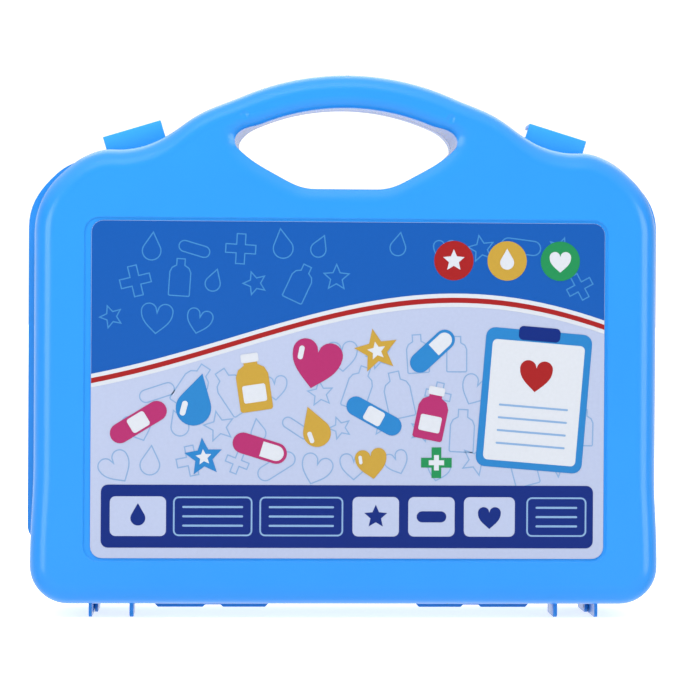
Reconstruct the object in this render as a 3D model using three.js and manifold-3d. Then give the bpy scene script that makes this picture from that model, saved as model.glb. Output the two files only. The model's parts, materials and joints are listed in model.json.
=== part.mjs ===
// A toy doctor case: two moulded halves with a grip cut through them, hinged at the bottom,
// two latches on the shoulders, a label on the back and a formed tray of toy instruments inside.
// Millimetres, +Z up. The labelled half faces -Y and the other half, the lid, faces +Y.
// Each half and the tray are drawn in a frame of their own: x across, y up from the underside
// of the body, z out from the seam between the halves.
import * as THREE from "three";
import { mergeVertices } from "three/addons/utils/BufferGeometryUtils.js";
import Module from "manifold-3d";

const wasm = await Module();
wasm.setup();
const { degToRad, lerp, smoothstep } = THREE.MathUtils;

// Driving sizes of the case
const caseWidth = 270;
const caseHeight = 229.6;
const caseDepth = 65;
const wall = 2;
const gap = 0.3;
const draft = 0.6;
const overrun = 1;
const mergeDistance = 1e-3;
const halfWidth = caseWidth / 2;
const halfDepth = caseDepth / 2;

// Outline of the body. The hollow of the shoulder lies at a fixed distance from the side and the
// grip's root at one from the hollow. The arc of the grip reaches over a share of the way to
// its root. From there to the root and on to the hollow, the outline falls by shares of the
// way across.
const edgeRadius = 9;
const gripEdgeShare = 0.75;
const bottomCornerRadius = 17;
const topCornerRadius = 34.5;
const topCornerSweep = degToRad(68);
const topCornerFall = 36.5;
const valleyInset = 36;
const valleyFallShare = 0.3965;
const valleyTilt = degToRad(2);
const gripRootReach = 29;
const gripRootFallShare = 0.4783;
const gripRootTilt = degToRad(37);
const gripArcRadius = 114;
const gripArcShare = 0.647;
const blendShare = 0.38;

// The hand hole under the grip: rolled along its top, with a shallow slope round the rest
const gripThickness = 13.7;
const holeHalfWidth = 46.7;
const holeArcRadius = 96;
const holeArcShare = 0.771;
const holeEndDrop = 30;
const holeEndRadius = 4.5;
const holeEndTop = degToRad(35);
const holeEndBottom = degToRad(-45);
const holeBendShare = 0.6;
const holeBendDrop = 45.1;
const holeBendTilt = degToRad(29);
const holeBottomDrop = 49.9;
const holeFlatShare = 0.332;
const holeRollDepth = 4.5;
const holeRollWidth = 5.2;
const holeRollRise = 5;
const holeSlopeDepth = 1;
const holeSlopeWidth = 4.2;

// The recess for the label, and the like panel on the lid
const labelSideMargin = 23.85;
const labelBottomMargin = 21;
const labelTopDrop = 64;
const labelRadius = 5;
const labelThickness = 0.3;
const recessDepth = 0.8;
const recessMargin = 1;
const recessSlope = 0.5;

// The rim of the lid, proud of the body along its sides and its underside
const rimReach = 3.8;
const rimThickness = 2;
const rimLowHeight = 26.6;
const rimEndLength = 6;
const rimTaperLength = 10.4;
const footReach = 3.6;
const footInnerShare = 0.226;
const footNotchInnerShare = 0.3904;
const footNotchOuterShare = 0.4563;
const footOuterShare = 0.6296;
const footNotchDepth = 1;

// The hinge: ears on both halves, and pins moulded on the ears of the lid
const hingeDrop = 3.1;
const earRadius = 2.7;
const earDepth = 20;
const earCornerRadius = 2;
const earInset = 24.3;
const rearEarThickness = 1.4;
const lidEarThickness = 1.4;
const innerEarInset = 41.9;
const innerEarThickness = 1.8;
const hingePinRadius = 1.25;

// The latches, drawn along a slanted line over the hollow of the shoulder:
// x along it, y out from it, z towards the lid
const latchLength = 26.3;
const latchInset = 7.4;
const latchSeatRise = 3;
const latchTilt = degToRad(17);
const latchSeatDepth = 3.4;
const latchHeight = 7;
const latchThickness = 1.8;
const latchStep = 0.6;
const latchStepHeight = 3.4;
const latchFootHeight = 1.3;
const latchReach = 8.5;
const latchCornerRadius = 1.5;
const latchBead = 0.7;
const latchPivotDepth = 9;
const latchPivotHeight = 3.4;
const latchBarrelRadius = 2.4;
const latchBarrelHalf = 7;
const lugRadius = 2.2;
const lugThickness = 2.2;
const latchPinRadius = 1.25;
const catchDepth = 5;
const catchWidth = 1.2;

// The tray, from the top of its deck down
const deckDepth = 4;
const trayThickness = 0.9;
const trayTopDrop = 57.6;
const pocketDraft = 0.8;
const pocketRadius = 3;
const pocketClearance = 1.5;
const ledgeReach = 5;
const ledgeThickness = 2;
const sideLedgeShares = [0.2, 0.78];
const lowLedgeShares = [-0.3, -0.07, 0.07, 0.3];

// Colours of the plastics and the paper
const blue = 0x38a8fc;
const deepBlue = 0x1e78c8;
const green = 0x39b36b;
const pink = 0xe0508c;
const yellow = 0xf2c230;
const white = 0xf2f4f6;
const paper = 0xc5cce7;

// Sizes that follow from the ones above
const bodyBottom = hingeDrop + earRadius;
const valleyHalf = halfWidth - valleyInset;
const gripRootHalf = valleyHalf - gripRootReach;
const gripArcHalf = gripArcShare * gripRootHalf;
const holeArcHalf = holeArcShare * holeHalfWidth;
const holeBendHalf = holeBendShare * holeHalfWidth;
const holeFlatHalf = holeFlatShare * holeHalfWidth;
const footInnerHalf = footInnerShare * halfWidth;
const footNotchInnerHalf = footNotchInnerShare * halfWidth;
const footNotchOuterHalf = footNotchOuterShare * halfWidth;
const footOuterHalf = footOuterShare * halfWidth;
const latchCentreHalf = valleyHalf - latchInset;
const holeBottomHeight = caseHeight - holeBottomDrop;
const holeEndHeight = caseHeight - holeEndDrop;
const labelWidth = caseWidth - 2 * labelSideMargin;
const labelHeight = caseHeight - labelTopDrop - labelBottomMargin;
const labelCentreHeight = labelBottomMargin + labelHeight / 2;
const earOuterHalf = halfWidth - earInset;
const innerEarHalf = halfWidth - innerEarInset;
const trayTopHeight = caseHeight - trayTopDrop;

// The triangles whose three corners differ
function withoutSlivers(index) {
  const kept = [];
  for (let i = 0; i < index.length; i += 3) {
    const [a, b, c] = index.subarray(i, i + 3);
    if (a !== b && b !== c && c !== a) kept.push(a, b, c);
  }
  return kept;
}

// A closed geometry as a solid that faces out, whichever way its faces were wound.
function solid(geometry) {
  const bare = new THREE.BufferGeometry();
  bare.setAttribute("position", geometry.getAttribute("position"));
  bare.setIndex(geometry.index);
  const merged = mergeVertices(bare, mergeDistance);
  const points = merged.getAttribute("position");
  const faces = new Uint32Array(withoutSlivers(merged.index.array));
  const corner = (i) => new THREE.Vector3().fromBufferAttribute(points, faces[i]);
  let volume = 0;
  for (let i = 0; i < faces.length; i += 3) {
    volume += corner(i).dot(corner(i + 1).cross(corner(i + 2)));
  }
  if (volume < 0) faces.reverse();
  return new wasm.Manifold(
    new wasm.Mesh({ numProp: 3, vertProperties: points.array, triVerts: faces }),
  );
}

const join = (first, ...others) => others.reduce((whole, next) => whole.add(next), first);
const cut = (first, ...others) => others.reduce((rest, next) => rest.subtract(next), first);

// A solid as a named mesh with a moulded plastic finish.
function piece(name, body, color, roughness = 0.35) {
  const made = body.getMesh();
  const geometry = new THREE.BufferGeometry();
  geometry.setAttribute("position", new THREE.BufferAttribute(made.vertProperties, 3));
  geometry.setIndex(new THREE.BufferAttribute(made.triVerts, 1));
  const flat = geometry.toNonIndexed();
  flat.computeVertexNormals();
  const material = new THREE.MeshStandardMaterial({ color, roughness, metalness: 0 });
  const mesh = new THREE.Mesh(flat, material);
  mesh.name = name;
  return mesh;
}

// Outlines are lists of points that run counterclockwise.
function tidy(points) {
  return points.filter((p, i) => p.distanceTo(points.at(i - 1)) > mergeDistance);
}

// The outline moved out by a distance, which may differ from point to point.
function grow(points, distance) {
  const outward = (from, to) => new THREE.Vector2(to.y - from.y, from.x - to.x).normalize();
  return points.map((p, i) => {
    const before = outward(points.at(i - 1), p);
    const after = outward(p, points[(i + 1) % points.length]);
    const middle = before.clone().add(after).normalize();
    const reach = typeof distance === "function" ? distance(p) : distance;
    return p.clone().addScaledVector(middle, reach / middle.dot(before));
  });
}

// Outline and its mirror image about x = 0, from the right half drawn upwards. It starts where
// the curves start: a point in the middle of the straight underside would be left out of the
// faces that close a solid.
function mirrored(path, divisions) {
  const right = path.getPoints(divisions);
  const left = right.map((p) => new THREE.Vector2(-p.x, p.y)).reverse();
  return tidy([...right, ...left]);
}

// Adds a curve that leaves the pen along one direction and arrives along another.
function blend(path, start, end, x, y) {
  const from = path.currentPoint;
  const reach = blendShare * Math.hypot(x - from.x, y - from.y);
  path.bezierCurveTo(
    from.x + reach * Math.cos(start),
    from.y + reach * Math.sin(start),
    x - reach * Math.cos(end),
    y - reach * Math.sin(end),
    x,
    y,
  );
}

// A solid through outlines of as many points, each at its own height z.
function loft(drawn) {
  const rings = THREE.ShapeUtils.isClockWise(drawn[0].outline)
    ? drawn.map(({ outline, z }) => ({ outline: [...outline].reverse(), z }))
    : drawn;
  const count = rings[0].outline.length;
  const points = rings.flatMap(({ outline, z }) => outline.flatMap((p) => [p.x, p.y, z]));
  const faces = [];
  for (let r = 0; r + 1 < rings.length; r += 1) {
    for (let i = 0; i < count; i += 1) {
      const a = r * count + i;
      const b = r * count + ((i + 1) % count);
      faces.push(a, b, b + count, a, b + count, a + count);
    }
  }
  const last = (rings.length - 1) * count;
  for (const [a, b, c] of THREE.ShapeUtils.triangulateShape(rings[0].outline, [])) {
    faces.push(c, b, a);
  }
  for (const [a, b, c] of THREE.ShapeUtils.triangulateShape(rings.at(-1).outline, [])) {
    faces.push(last + a, last + b, last + c);
  }
  const geometry = new THREE.BufferGeometry();
  geometry.setAttribute("position", new THREE.Float32BufferAttribute(points, 3));
  geometry.setIndex(faces);
  return solid(geometry);
}

const prism = (outline, low, high) => loft([{ outline, z: low }, { outline, z: high }]);

function rectangle(width, height, radius, x = 0, y = 0, divisions = 2) {
  const path = new THREE.Path();
  const right = width / 2 - radius;
  const top = height / 2 - radius;
  const quarter = Math.PI / 2;
  path.absarc(x + right, y - top, radius, -quarter, 0);
  path.absarc(x + right, y + top, radius, 0, quarter);
  path.absarc(x - right, y + top, radius, quarter, Math.PI);
  path.absarc(x - right, y - top, radius, Math.PI, Math.PI + quarter);
  return tidy(path.getPoints(divisions));
}

function circle(radius, sides, x = 0, y = 0) {
  const path = new THREE.Path().absarc(x, y, radius, 0, 2 * Math.PI);
  return tidy(path.getPoints(sides / 2));
}

const polygon = (...corners) => corners.map(([x, y]) => new THREE.Vector2(x, y));

// A solid drawn in z and y and run along x.
function alongX(outline, low, high) {
  const turn = new THREE.Matrix4().makeBasis(
    new THREE.Vector3(0, 0, 1),
    new THREE.Vector3(0, 1, 0),
    new THREE.Vector3(-1, 0, 0),
  );
  return prism(outline, -high, -low).transform(turn.toArray());
}

// A body turned about y; a profile off the axis closes on itself.
function revolve(profile, sides) {
  const closed = profile[0][0] > 0 ? [...profile, profile[0]] : profile;
  return solid(new THREE.LatheGeometry(polygon(...closed), sides));
}

const moved = (body, x, y, z = 0) => body.translate([x, y, z]);
const turned = (body, angle) => body.rotate([0, 0, THREE.MathUtils.radToDeg(angle)]);
const bothSides = (body) => [body, body.mirror([1, 0, 0])];

// A place on the outline that lies further out than the last one, and lower by a share of that
function fallTo(x, from, fallShare) {
  return new THREE.Vector2(x, from.y - fallShare * (x - from.x));
}

// Where the arc of the grip starts, its root, the hollow of the shoulder and the upper corner
const gripArcTilt = Math.asin(gripArcHalf / gripArcRadius);
const gripArcCentre = caseHeight - gripArcRadius;
const gripArcStart = new THREE.Vector2(
  gripArcHalf, gripArcCentre + gripArcRadius * Math.cos(gripArcTilt));
const gripRoot = fallTo(gripRootHalf, gripArcStart, gripRootFallShare);
const valley = fallTo(valleyHalf, gripRoot, valleyFallShare);
const cornerHeight = valley.y - topCornerFall;

// The body's outline
function bodyOutline() {
  const path = new THREE.Path();
  path.absarc(
    halfWidth - bottomCornerRadius, bottomCornerRadius, bottomCornerRadius, -Math.PI / 2, 0);
  path.absarc(halfWidth - topCornerRadius, cornerHeight, topCornerRadius, 0, topCornerSweep);
  blend(path, topCornerSweep + Math.PI / 2, Math.PI - valleyTilt, valley.x, valley.y);
  blend(path, Math.PI - valleyTilt, Math.PI - gripRootTilt, gripRoot.x, gripRoot.y);
  blend(
    path, Math.PI - gripRootTilt, Math.PI - gripArcTilt, gripArcStart.x, gripArcStart.y);
  path.absarc(0, gripArcCentre, gripArcRadius, Math.PI / 2 - gripArcTilt, Math.PI / 2);
  return mirrored(path, 5);
}

function holeOutline() {
  const path = new THREE.Path();
  const endX = holeHalfWidth - holeEndRadius;
  path.moveTo(holeFlatHalf, holeBottomHeight);
  blend(path, 0, holeBendTilt, holeBendHalf, caseHeight - holeBendDrop);
  blend(
    path,
    holeBendTilt,
    holeEndBottom + Math.PI / 2,
    endX + holeEndRadius * Math.cos(holeEndBottom),
    holeEndHeight + holeEndRadius * Math.sin(holeEndBottom),
  );
  path.absarc(endX, holeEndHeight, holeEndRadius, holeEndBottom, holeEndTop);
  const tilt = Math.asin(holeArcHalf / holeArcRadius);
  const centre = caseHeight - gripThickness - holeArcRadius;
  const arcStart = centre + holeArcRadius * Math.cos(tilt);
  blend(path, holeEndTop + Math.PI / 2, Math.PI - tilt, holeArcHalf, arcStart);
  path.absarc(0, centre, holeArcRadius, Math.PI / 2 - tilt, Math.PI / 2);
  return mirrored(path, 4);
}

const body = bodyOutline();
const hole = holeOutline();

// Inset and height of each ring from the seam to the face, for a rounded edge
function roundedRings(width, depth, steps) {
  return Array.from({ length: steps + 1 }, (_, i) => {
    const angle = (i / steps) * (Math.PI / 2);
    return { inset: width * (1 - Math.cos(angle)), rise: depth * Math.sin(angle) };
  });
}

// The body of one half, or the room inside it when it is taken a wall smaller.
// Its edge is tighter along the grip.
function bodyBlock(inward, low, steps) {
  const top = halfDepth - inward;
  const radius = edgeRadius - inward;
  const shareAt = (p) => lerp(1, gripEdgeShare, smoothstep(p.y, valley.y, gripRoot.y));
  const rings = roundedRings(radius, radius, steps).map(({ inset, rise }) => ({
    outline: grow(body, (p) => -inward - draft - inset * shareAt(p)),
    z: top - radius + rise,
  }));
  return loft([{ outline: grow(body, -inward), z: low }, ...rings]);
}

// The hand hole, which opens out to the face
function holeBlock(outward, low, steps) {
  const rollAt = (p) => smoothstep(p.y, holeEndHeight, holeEndHeight + holeRollRise);
  const rings = roundedRings(holeRollWidth, holeRollDepth, steps).map(({ inset, rise }) => {
    const depth = holeRollDepth - rise;
    const slope = holeSlopeWidth * Math.max(0, 1 - depth / holeSlopeDepth);
    return {
      outline: grow(hole, (p) => outward + lerp(slope, inset, rollAt(p))),
      z: halfDepth - depth,
    };
  });
  const past = { outline: rings.at(-1).outline, z: halfDepth + overrun };
  return loft([{ outline: grow(hole, outward), z: low }, ...rings, past]);
}

// The recess in a face, with sloping sides
function recessBlock() {
  const ring = (extra, z) => ({
    outline: rectangle(
      labelWidth + 2 * (recessMargin + extra),
      labelHeight + 2 * (recessMargin + extra),
      labelRadius + recessMargin + extra,
      0,
      labelCentreHeight,
      3,
    ),
    z,
  });
  return loft([
    ring(0, halfDepth - recessDepth),
    ring(recessSlope, halfDepth),
    ring(recessSlope, halfDepth + overrun),
  ]);
}

// A hinge ear: a plate under the body with a round eye at the hinge axis
function ear(inner, outer, hasEye) {
  const low = -hingeDrop - earRadius;
  const start = gap / 2;
  const block = new THREE.Path();
  block.moveTo(start, wall / 2);
  block.lineTo(start, low);
  block.lineTo(earDepth - earCornerRadius, low);
  block.absarc(
    earDepth - earCornerRadius, low + earCornerRadius, earCornerRadius, -Math.PI / 2, 0);
  block.lineTo(earDepth, wall / 2);
  const plate = alongX(tidy(block.getPoints(3)), inner, outer);
  if (!hasEye) return plate;
  return plate.add(alongX(circle(earRadius, 16, 0, -hingeDrop), inner, outer));
}

// One half without its own fittings
function plainHalf() {
  const outside = cut(bodyBlock(0, gap / 2, 4), holeBlock(0, 0, 4), recessBlock());
  const room = cut(bodyBlock(wall, -overrun, 3), holeBlock(wall, -2 * overrun, 3));
  return outside.subtract(room);
}

// Moves a body drawn along the latch's line to its place on the right shoulder.
function onShoulder(drawn) {
  return moved(turned(drawn, -latchTilt), latchCentreHalf, valley.y + latchSeatRise);
}

// The like, for a fitting that grows out of the shoulder's wall
function outOfShoulder(drawn) {
  return onShoulder(drawn).subtract(bodyBlock(wall / 2, -overrun, 3));
}

function catchRidge() {
  const height = latchFootHeight - gap;
  const outline = polygon(
    [catchDepth - catchWidth / 2, -latchSeatDepth],
    [catchDepth + catchWidth / 2, -latchSeatDepth],
    [catchDepth + catchWidth / 2, height],
    [catchDepth - catchWidth / 2, height / 2],
  );
  return outOfShoulder(alongX(outline, -latchLength / 2, latchLength / 2));
}

// Ribs on the inside of the labelled half, which the deck of the tray rests on
function trayLedges() {
  const from = deckDepth + trayThickness + gap;
  const reach = 2 * (ledgeReach + wall);
  const sides = sideLedgeShares.flatMap((share) => [-1, 1].map((side) =>
    rectangle(reach, ledgeThickness, ledgeThickness / 4, side * halfWidth, share * trayTopHeight)));
  const low = lowLedgeShares.map((share) =>
    rectangle(ledgeThickness, reach, ledgeThickness / 4, share * caseWidth, 0));
  const within = bodyBlock(wall / 2, 0, 3);
  return [...sides, ...low].map((outline) => prism(outline, from, halfDepth).intersect(within));
}

function rearShell() {
  const innerFace = earOuterHalf - rearEarThickness;
  const eye = circle(hingePinRadius + gap, 16, 0, -hingeDrop);
  const outerEar = ear(innerFace, earOuterHalf, true);
  const drilled = outerEar.subtract(alongX(eye, innerFace - overrun, earOuterHalf + overrun));
  const inner = ear(innerEarHalf - innerEarThickness, innerEarHalf, false);
  return join(
    plainHalf(),
    ...bothSides(drilled),
    ...bothSides(inner),
    ...bothSides(catchRidge()),
    ...trayLedges(),
  );
}

// The rim of the lid, in one stretch down each side, which runs out round the upper corner
function sideRim() {
  const outer = halfWidth + rimReach;
  const cornerX = halfWidth - topCornerRadius;
  const path = new THREE.Path();
  path.moveTo(halfWidth - wall, rimLowHeight);
  path.lineTo(halfWidth, rimLowHeight);
  blend(path, 0, Math.PI / 2, outer, rimLowHeight + rimEndLength);
  path.lineTo(outer, cornerHeight - rimTaperLength);
  blend(
    path,
    Math.PI / 2,
    Math.PI / 2 + topCornerSweep,
    cornerX + topCornerRadius * Math.cos(topCornerSweep),
    cornerHeight + topCornerRadius * Math.sin(topCornerSweep),
  );
  path.lineTo(cornerX, cornerHeight);
  path.lineTo(halfWidth - edgeRadius, cornerHeight);
  const rim = prism(tidy(path.getPoints(6)), gap / 2, gap / 2 + rimThickness);
  return rim.subtract(prism(grow(body, -wall / 2), 0, halfDepth));
}

// The rim under the lid, with slanted ends and a shallow notch
function footRim() {
  const outline = polygon(
    [footInnerHalf, wall / 2],
    [footInnerHalf, 0],
    [footInnerHalf + footReach, -footReach],
    [footNotchInnerHalf, -footReach],
    [footNotchInnerHalf + footNotchDepth, footNotchDepth - footReach],
    [footNotchOuterHalf - footNotchDepth, footNotchDepth - footReach],
    [footNotchOuterHalf, -footReach],
    [footOuterHalf - footReach, -footReach],
    [footOuterHalf, 0],
    [footOuterHalf, wall / 2],
  );
  return prism(outline, gap / 2, gap / 2 + rimThickness);
}

function latchLugs() {
  const path = new THREE.Path();
  path.absarc(latchPivotDepth, latchPivotHeight, lugRadius, 0, Math.PI);
  path.lineTo(latchPivotDepth - lugRadius, -latchSeatDepth);
  path.lineTo(latchPivotDepth + lugRadius, -latchSeatDepth);
  const eye = circle(latchPinRadius + gap, 12, latchPivotDepth, latchPivotHeight);
  const inner = latchBarrelHalf + gap;
  const plate = alongX(tidy(path.getPoints(5)), inner, inner + lugThickness);
  const lug = plate.subtract(alongX(eye, 0, latchLength));
  return bothSides(lug).map(outOfShoulder);
}

function frontShell() {
  const outer = earOuterHalf - rearEarThickness - gap;
  const lidEar = ear(outer - lidEarThickness, outer, true);
  const pin = alongX(circle(hingePinRadius, 12, 0, -hingeDrop), outer - lidEarThickness / 2,
    earOuterHalf);
  const oneSide = join(lidEar, pin, sideRim(), footRim(), ...latchLugs());
  return join(plainHalf(), ...bothSides(oneSide));
}

// A latch: a flap with a hook at one end and a barrel with pins at the other
function latch() {
  const half = latchLength / 2;
  const far = -latchReach;
  const under = latchHeight - latchThickness;
  const flap = new THREE.Path();
  flap.moveTo(latchPivotDepth - lugRadius - 2 * gap, under);
  flap.lineTo(latchPivotDepth - lugRadius - 2 * gap, latchHeight);
  flap.absarc(
    far + latchCornerRadius, latchHeight - latchCornerRadius, latchCornerRadius,
    Math.PI / 2, Math.PI);
  flap.lineTo(far, latchStepHeight);
  flap.lineTo(far + latchStep, latchStepHeight);
  flap.lineTo(far + latchStep, latchFootHeight);
  flap.lineTo(far + latchThickness + latchBead, latchFootHeight);
  flap.lineTo(far + latchThickness, latchFootHeight + 2 * latchBead);
  flap.lineTo(far + latchThickness, under);
  const barrelBridge = polygon(
    [latchPivotDepth, latchPivotHeight],
    [latchPivotDepth, latchPivotHeight + latchBarrelRadius],
    [latchPivotDepth - latchBarrelRadius / 2, latchHeight],
    [latchPivotDepth - lugRadius - 2 * gap - overrun, latchHeight],
    [latchPivotDepth - lugRadius - 2 * gap - overrun, under],
  );
  const pinHalf = latchBarrelHalf + gap + lugThickness;
  const barrel = circle(latchBarrelRadius, 16, latchPivotDepth, latchPivotHeight);
  const pin = circle(latchPinRadius, 12, latchPivotDepth, latchPivotHeight);
  return join(
    alongX(tidy(flap.getPoints(3)), -half, half),
    alongX(barrelBridge, -latchBarrelHalf, latchBarrelHalf),
    alongX(barrel, -latchBarrelHalf, latchBarrelHalf),
    alongX(pin, -pinHalf, pinHalf),
  );
}

function label() {
  const outline = rectangle(labelWidth, labelHeight, labelRadius, 0, labelCentreHeight, 4);
  const back = halfDepth - recessDepth + gap / 2;
  return prism(outline, back, back + labelThickness);
}

// Toy instruments, each lying along x with its middle at the origin and its underside at z = 0
const syringe = {
  sink: 10, length: 62, radius: 8, bore: 6.6, nozzle: 10, nozzleRadius: 2.6, tipRadius: 1.6,
  flangeHalf: 13, flangeThickness: 3, discRadius: 8, discThickness: 2.4,
  rodRadius: 2.6, piston: 5, standOff: 10, travel: 35,
};
const scissors = {
  blade: 46, bladeWidth: 11, handle: 36, loopRadius: 11, loopBore: 7, thickness: 3,
  pivotRadius: 2.5, pivotHeadRadius: 4, pivotHead: 1.2, spread: 6.7, sink: 3,
};
const thermometer = {
  length: 98, width: 13, tipWidth: 5, thickness: 5, neckShare: 0.62, sink: 3,
};
const hammer = {
  length: 112, radius: 4, gripRadius: 6, gripLength: 38, headLength: 40, headRadius: 10,
  capRadius: 7.5, socketDepth: 6, sink: 12,
};
const stethoscope = {
  span: 46, height: 40, tubeRadius: 2.6, stem: 18, earTipRadius: 5, discRadius: 10,
  discThickness: 8, spigot: 5, spigotRadius: 1.6, sink: 6,
  armShares: [[0.5, 1], [0.62, 0.75], [0.55, 0.4], [0.28, 0.12], [0, 0]],
};
const dish = {
  length: 82, width: 36, depth: 12, wall: 1.6, bend: 7, footShare: 0.82, sink: 12.3,
};
const tweezers = { length: 92, thickness: 4.5, spread: 5, arm: 2.2, bridge: 14, sink: 3 };
const otoscope = {
  length: 62, radius: 7, headRadius: 10, headLength: 14, coneLength: 22, coneRadius: 8.5,
  tipRadius: 2.5, boreRadius: 1.5, sink: 12,
};
const badge = { width: 50, height: 34, thickness: 3, radius: 4, border: 3, recess: 1, sink: 2 };

// Lays a body of revolution, drawn along y, along x with its axis above the underside.
const laid = (turnedBody, height) => turnedBody.rotate([0, 0, -90]).translate([0, 0, height]);

function syringeBarrel() {
  const { length, radius, bore, nozzle, nozzleRadius, tipRadius } = syringe;
  const outer = revolve(
    [[0, 0], [radius, 0], [radius, length - radius / 2], [radius - radius / 4, length],
      [nozzleRadius, length], [tipRadius, length + nozzle], [0, length + nozzle]], 20);
  const inner = revolve(
    [[0, -overrun], [bore, -overrun], [bore, length - radius / 2], [0, length - radius / 2]], 20);
  const wings = rectangle(syringe.flangeHalf * 2, radius * 2, radius - gap, 0, 0, 3);
  const flange = prism(wings, 0, syringe.flangeThickness).rotate([-90, 0, 0]);
  return laid(cut(join(outer, flange), inner), radius);
}

function syringePlunger() {
  const { length, radius, bore, discRadius, discThickness, rodRadius, piston } = syringe;
  const reach = length - radius / 2 - gap;
  const back = -syringe.standOff;
  const run = bore - gap;
  const rod = revolve(
    [[0, back - discThickness], [discRadius, back - discThickness], [discRadius, back],
      [rodRadius, back], [rodRadius, reach - piston], [run, reach - piston],
      [run, reach], [0, reach]], 18);
  return laid(rod, radius);
}

// One half of the scissors: a blade, an arm and a finger loop on the other side of the pivot
function scissorsHalf() {
  const { blade, bladeWidth, handle, loopRadius, loopBore, thickness, pivotRadius } = scissors;
  const tip = polygon(
    [0, -bladeWidth / 2], [blade, -bladeWidth / 8], [blade, bladeWidth / 8],
    [blade / 2, bladeWidth / 2], [0, bladeWidth / 2]);
  const loopX = -handle - loopRadius / 2;
  const loopY = -scissors.spread - loopRadius / 2;
  const arm = polygon(
    [bladeWidth / 4, -bladeWidth / 3], [bladeWidth / 4, bladeWidth / 3],
    [loopX + loopRadius / 2, loopY + bladeWidth / 3],
    [loopX + loopRadius / 2, loopY - bladeWidth / 3]);
  const ring = circle(loopRadius, 20, loopX, loopY);
  const opening = circle(loopBore, 16, loopX, loopY);
  const layer = (points) => prism(points, 0, thickness);
  const whole = join(layer(tip), layer(arm), layer(ring));
  return cut(
    whole,
    prism(opening, -overrun, thickness + overrun),
    prism(circle(pivotRadius + gap, 14), -overrun, thickness + overrun),
  );
}

function scissorsPivot() {
  const { thickness, pivotRadius, pivotHeadRadius, pivotHead } = scissors;
  const top = 2 * thickness + 2 * gap;
  return revolve(
    [[0, 0], [pivotRadius, 0], [pivotRadius, top], [pivotHeadRadius, top],
      [pivotHeadRadius - pivotHead / 2, top + pivotHead], [0, top + pivotHead]], 14,
  ).rotate([90, 0, 0]);
}

function thermometerBody() {
  const { length, width, tipWidth, thickness, neckShare } = thermometer;
  const path = new THREE.Path();
  const left = -length / 2;
  const neck = left + length * neckShare;
  path.absarc(left + width / 2, 0, width / 2, Math.PI / 2, 3 * Math.PI / 2);
  path.lineTo(neck, -width / 2);
  path.absarc(length / 2 - tipWidth / 2, 0, tipWidth / 2, -Math.PI / 2, Math.PI / 2);
  path.lineTo(neck, width / 2);
  const outline = tidy(path.getPoints(5));
  const soft = thickness / 5;
  return loft([
    { outline: grow(outline, -soft), z: 0 },
    { outline, z: soft },
    { outline, z: thickness - soft },
    { outline: grow(outline, -soft), z: thickness },
  ]);
}

function hammerHandle() {
  const { length, radius, gripRadius, gripLength, headRadius, socketDepth } = hammer;
  const top = length - headRadius + socketDepth - gap;
  return laid(revolve(
    [[0, 0], [gripRadius - radius / 2, 0], [gripRadius, radius / 2],
      [gripRadius, gripLength - radius], [radius, gripLength],
      [radius * blendShare * 2, top], [0, top]], 16), headRadius);
}

function hammerHead() {
  const { length, radius, headLength, headRadius, capRadius, socketDepth } = hammer;
  const half = headLength / 2;
  const head = revolve(
    [[0, -half], [capRadius, -half], [headRadius, -half + headRadius - capRadius],
      [headRadius, -half / 2], [capRadius, -half / 3], [capRadius, half / 3],
      [headRadius, half / 2], [headRadius, half - headRadius + capRadius],
      [capRadius, half], [0, half]], 20).translate([length, 0, headRadius]);
  const seat = length - headRadius;
  const socket = revolve(
    [[0, 0], [radius * blendShare * 2 + gap, 0],
      [radius * blendShare * 2 + gap, seat + socketDepth], [0, seat + socketDepth]], 16);
  return head.subtract(laid(socket, headRadius));
}

// The tube of the stethoscope: two ear arms that meet in a stem
function stethoscopeHeadset() {
  const { span, height, tubeRadius, stem, earTipRadius, spigot, spigotRadius } = stethoscope;
  const z = earTipRadius;
  const tube = (points, radius, steps) => {
    const curve = new THREE.CatmullRomCurve3(points);
    const section = new THREE.Shape(circle(radius, 8));
    return solid(new THREE.ExtrudeGeometry(section, { steps, extrudePath: curve }));
  };
  const place = (side) => ([x, y]) => new THREE.Vector3(side * x * span, y * height, z);
  const arm = (side) => tube(stethoscope.armShares.map(place(side)), tubeRadius, 10);
  const tip = (side) => solid(new THREE.SphereGeometry(earTipRadius, 10, 6))
    .translate([side * span / 2, height, z]);
  const down = tube(
    [new THREE.Vector3(0, overrun, z), new THREE.Vector3(0, -stem / 2, z),
      new THREE.Vector3(0, -stem, z)], tubeRadius + tubeRadius / 5, 2);
  const peg = tube(
    [new THREE.Vector3(0, -stem + overrun, z), new THREE.Vector3(0, -stem - spigot / 2, z),
      new THREE.Vector3(0, -stem - spigot, z)], spigotRadius, 2);
  return join(down, peg, arm(-1), arm(1), tip(-1), tip(1));
}

function stethoscopeChestpiece() {
  const { discRadius, discThickness, stem, spigot, spigotRadius, earTipRadius } = stethoscope;
  const rim = discThickness / 4;
  const disc = revolve(
    [[0, 0], [discRadius - rim, 0], [discRadius, rim], [discRadius, discThickness - 2 * rim],
      [discRadius - 2 * rim, discThickness], [0, discThickness]], 24)
    .rotate([90, 0, 0]).translate([0, -stem - discRadius - gap, earTipRadius - discThickness / 2]);
  const bore = circle(spigotRadius + gap, 10);
  const socket = prism(bore, 0, spigot + gap + overrun).rotate([90, 0, 0])
    .translate([0, -stem + overrun, earTipRadius]);
  return disc.subtract(socket);
}

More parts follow.
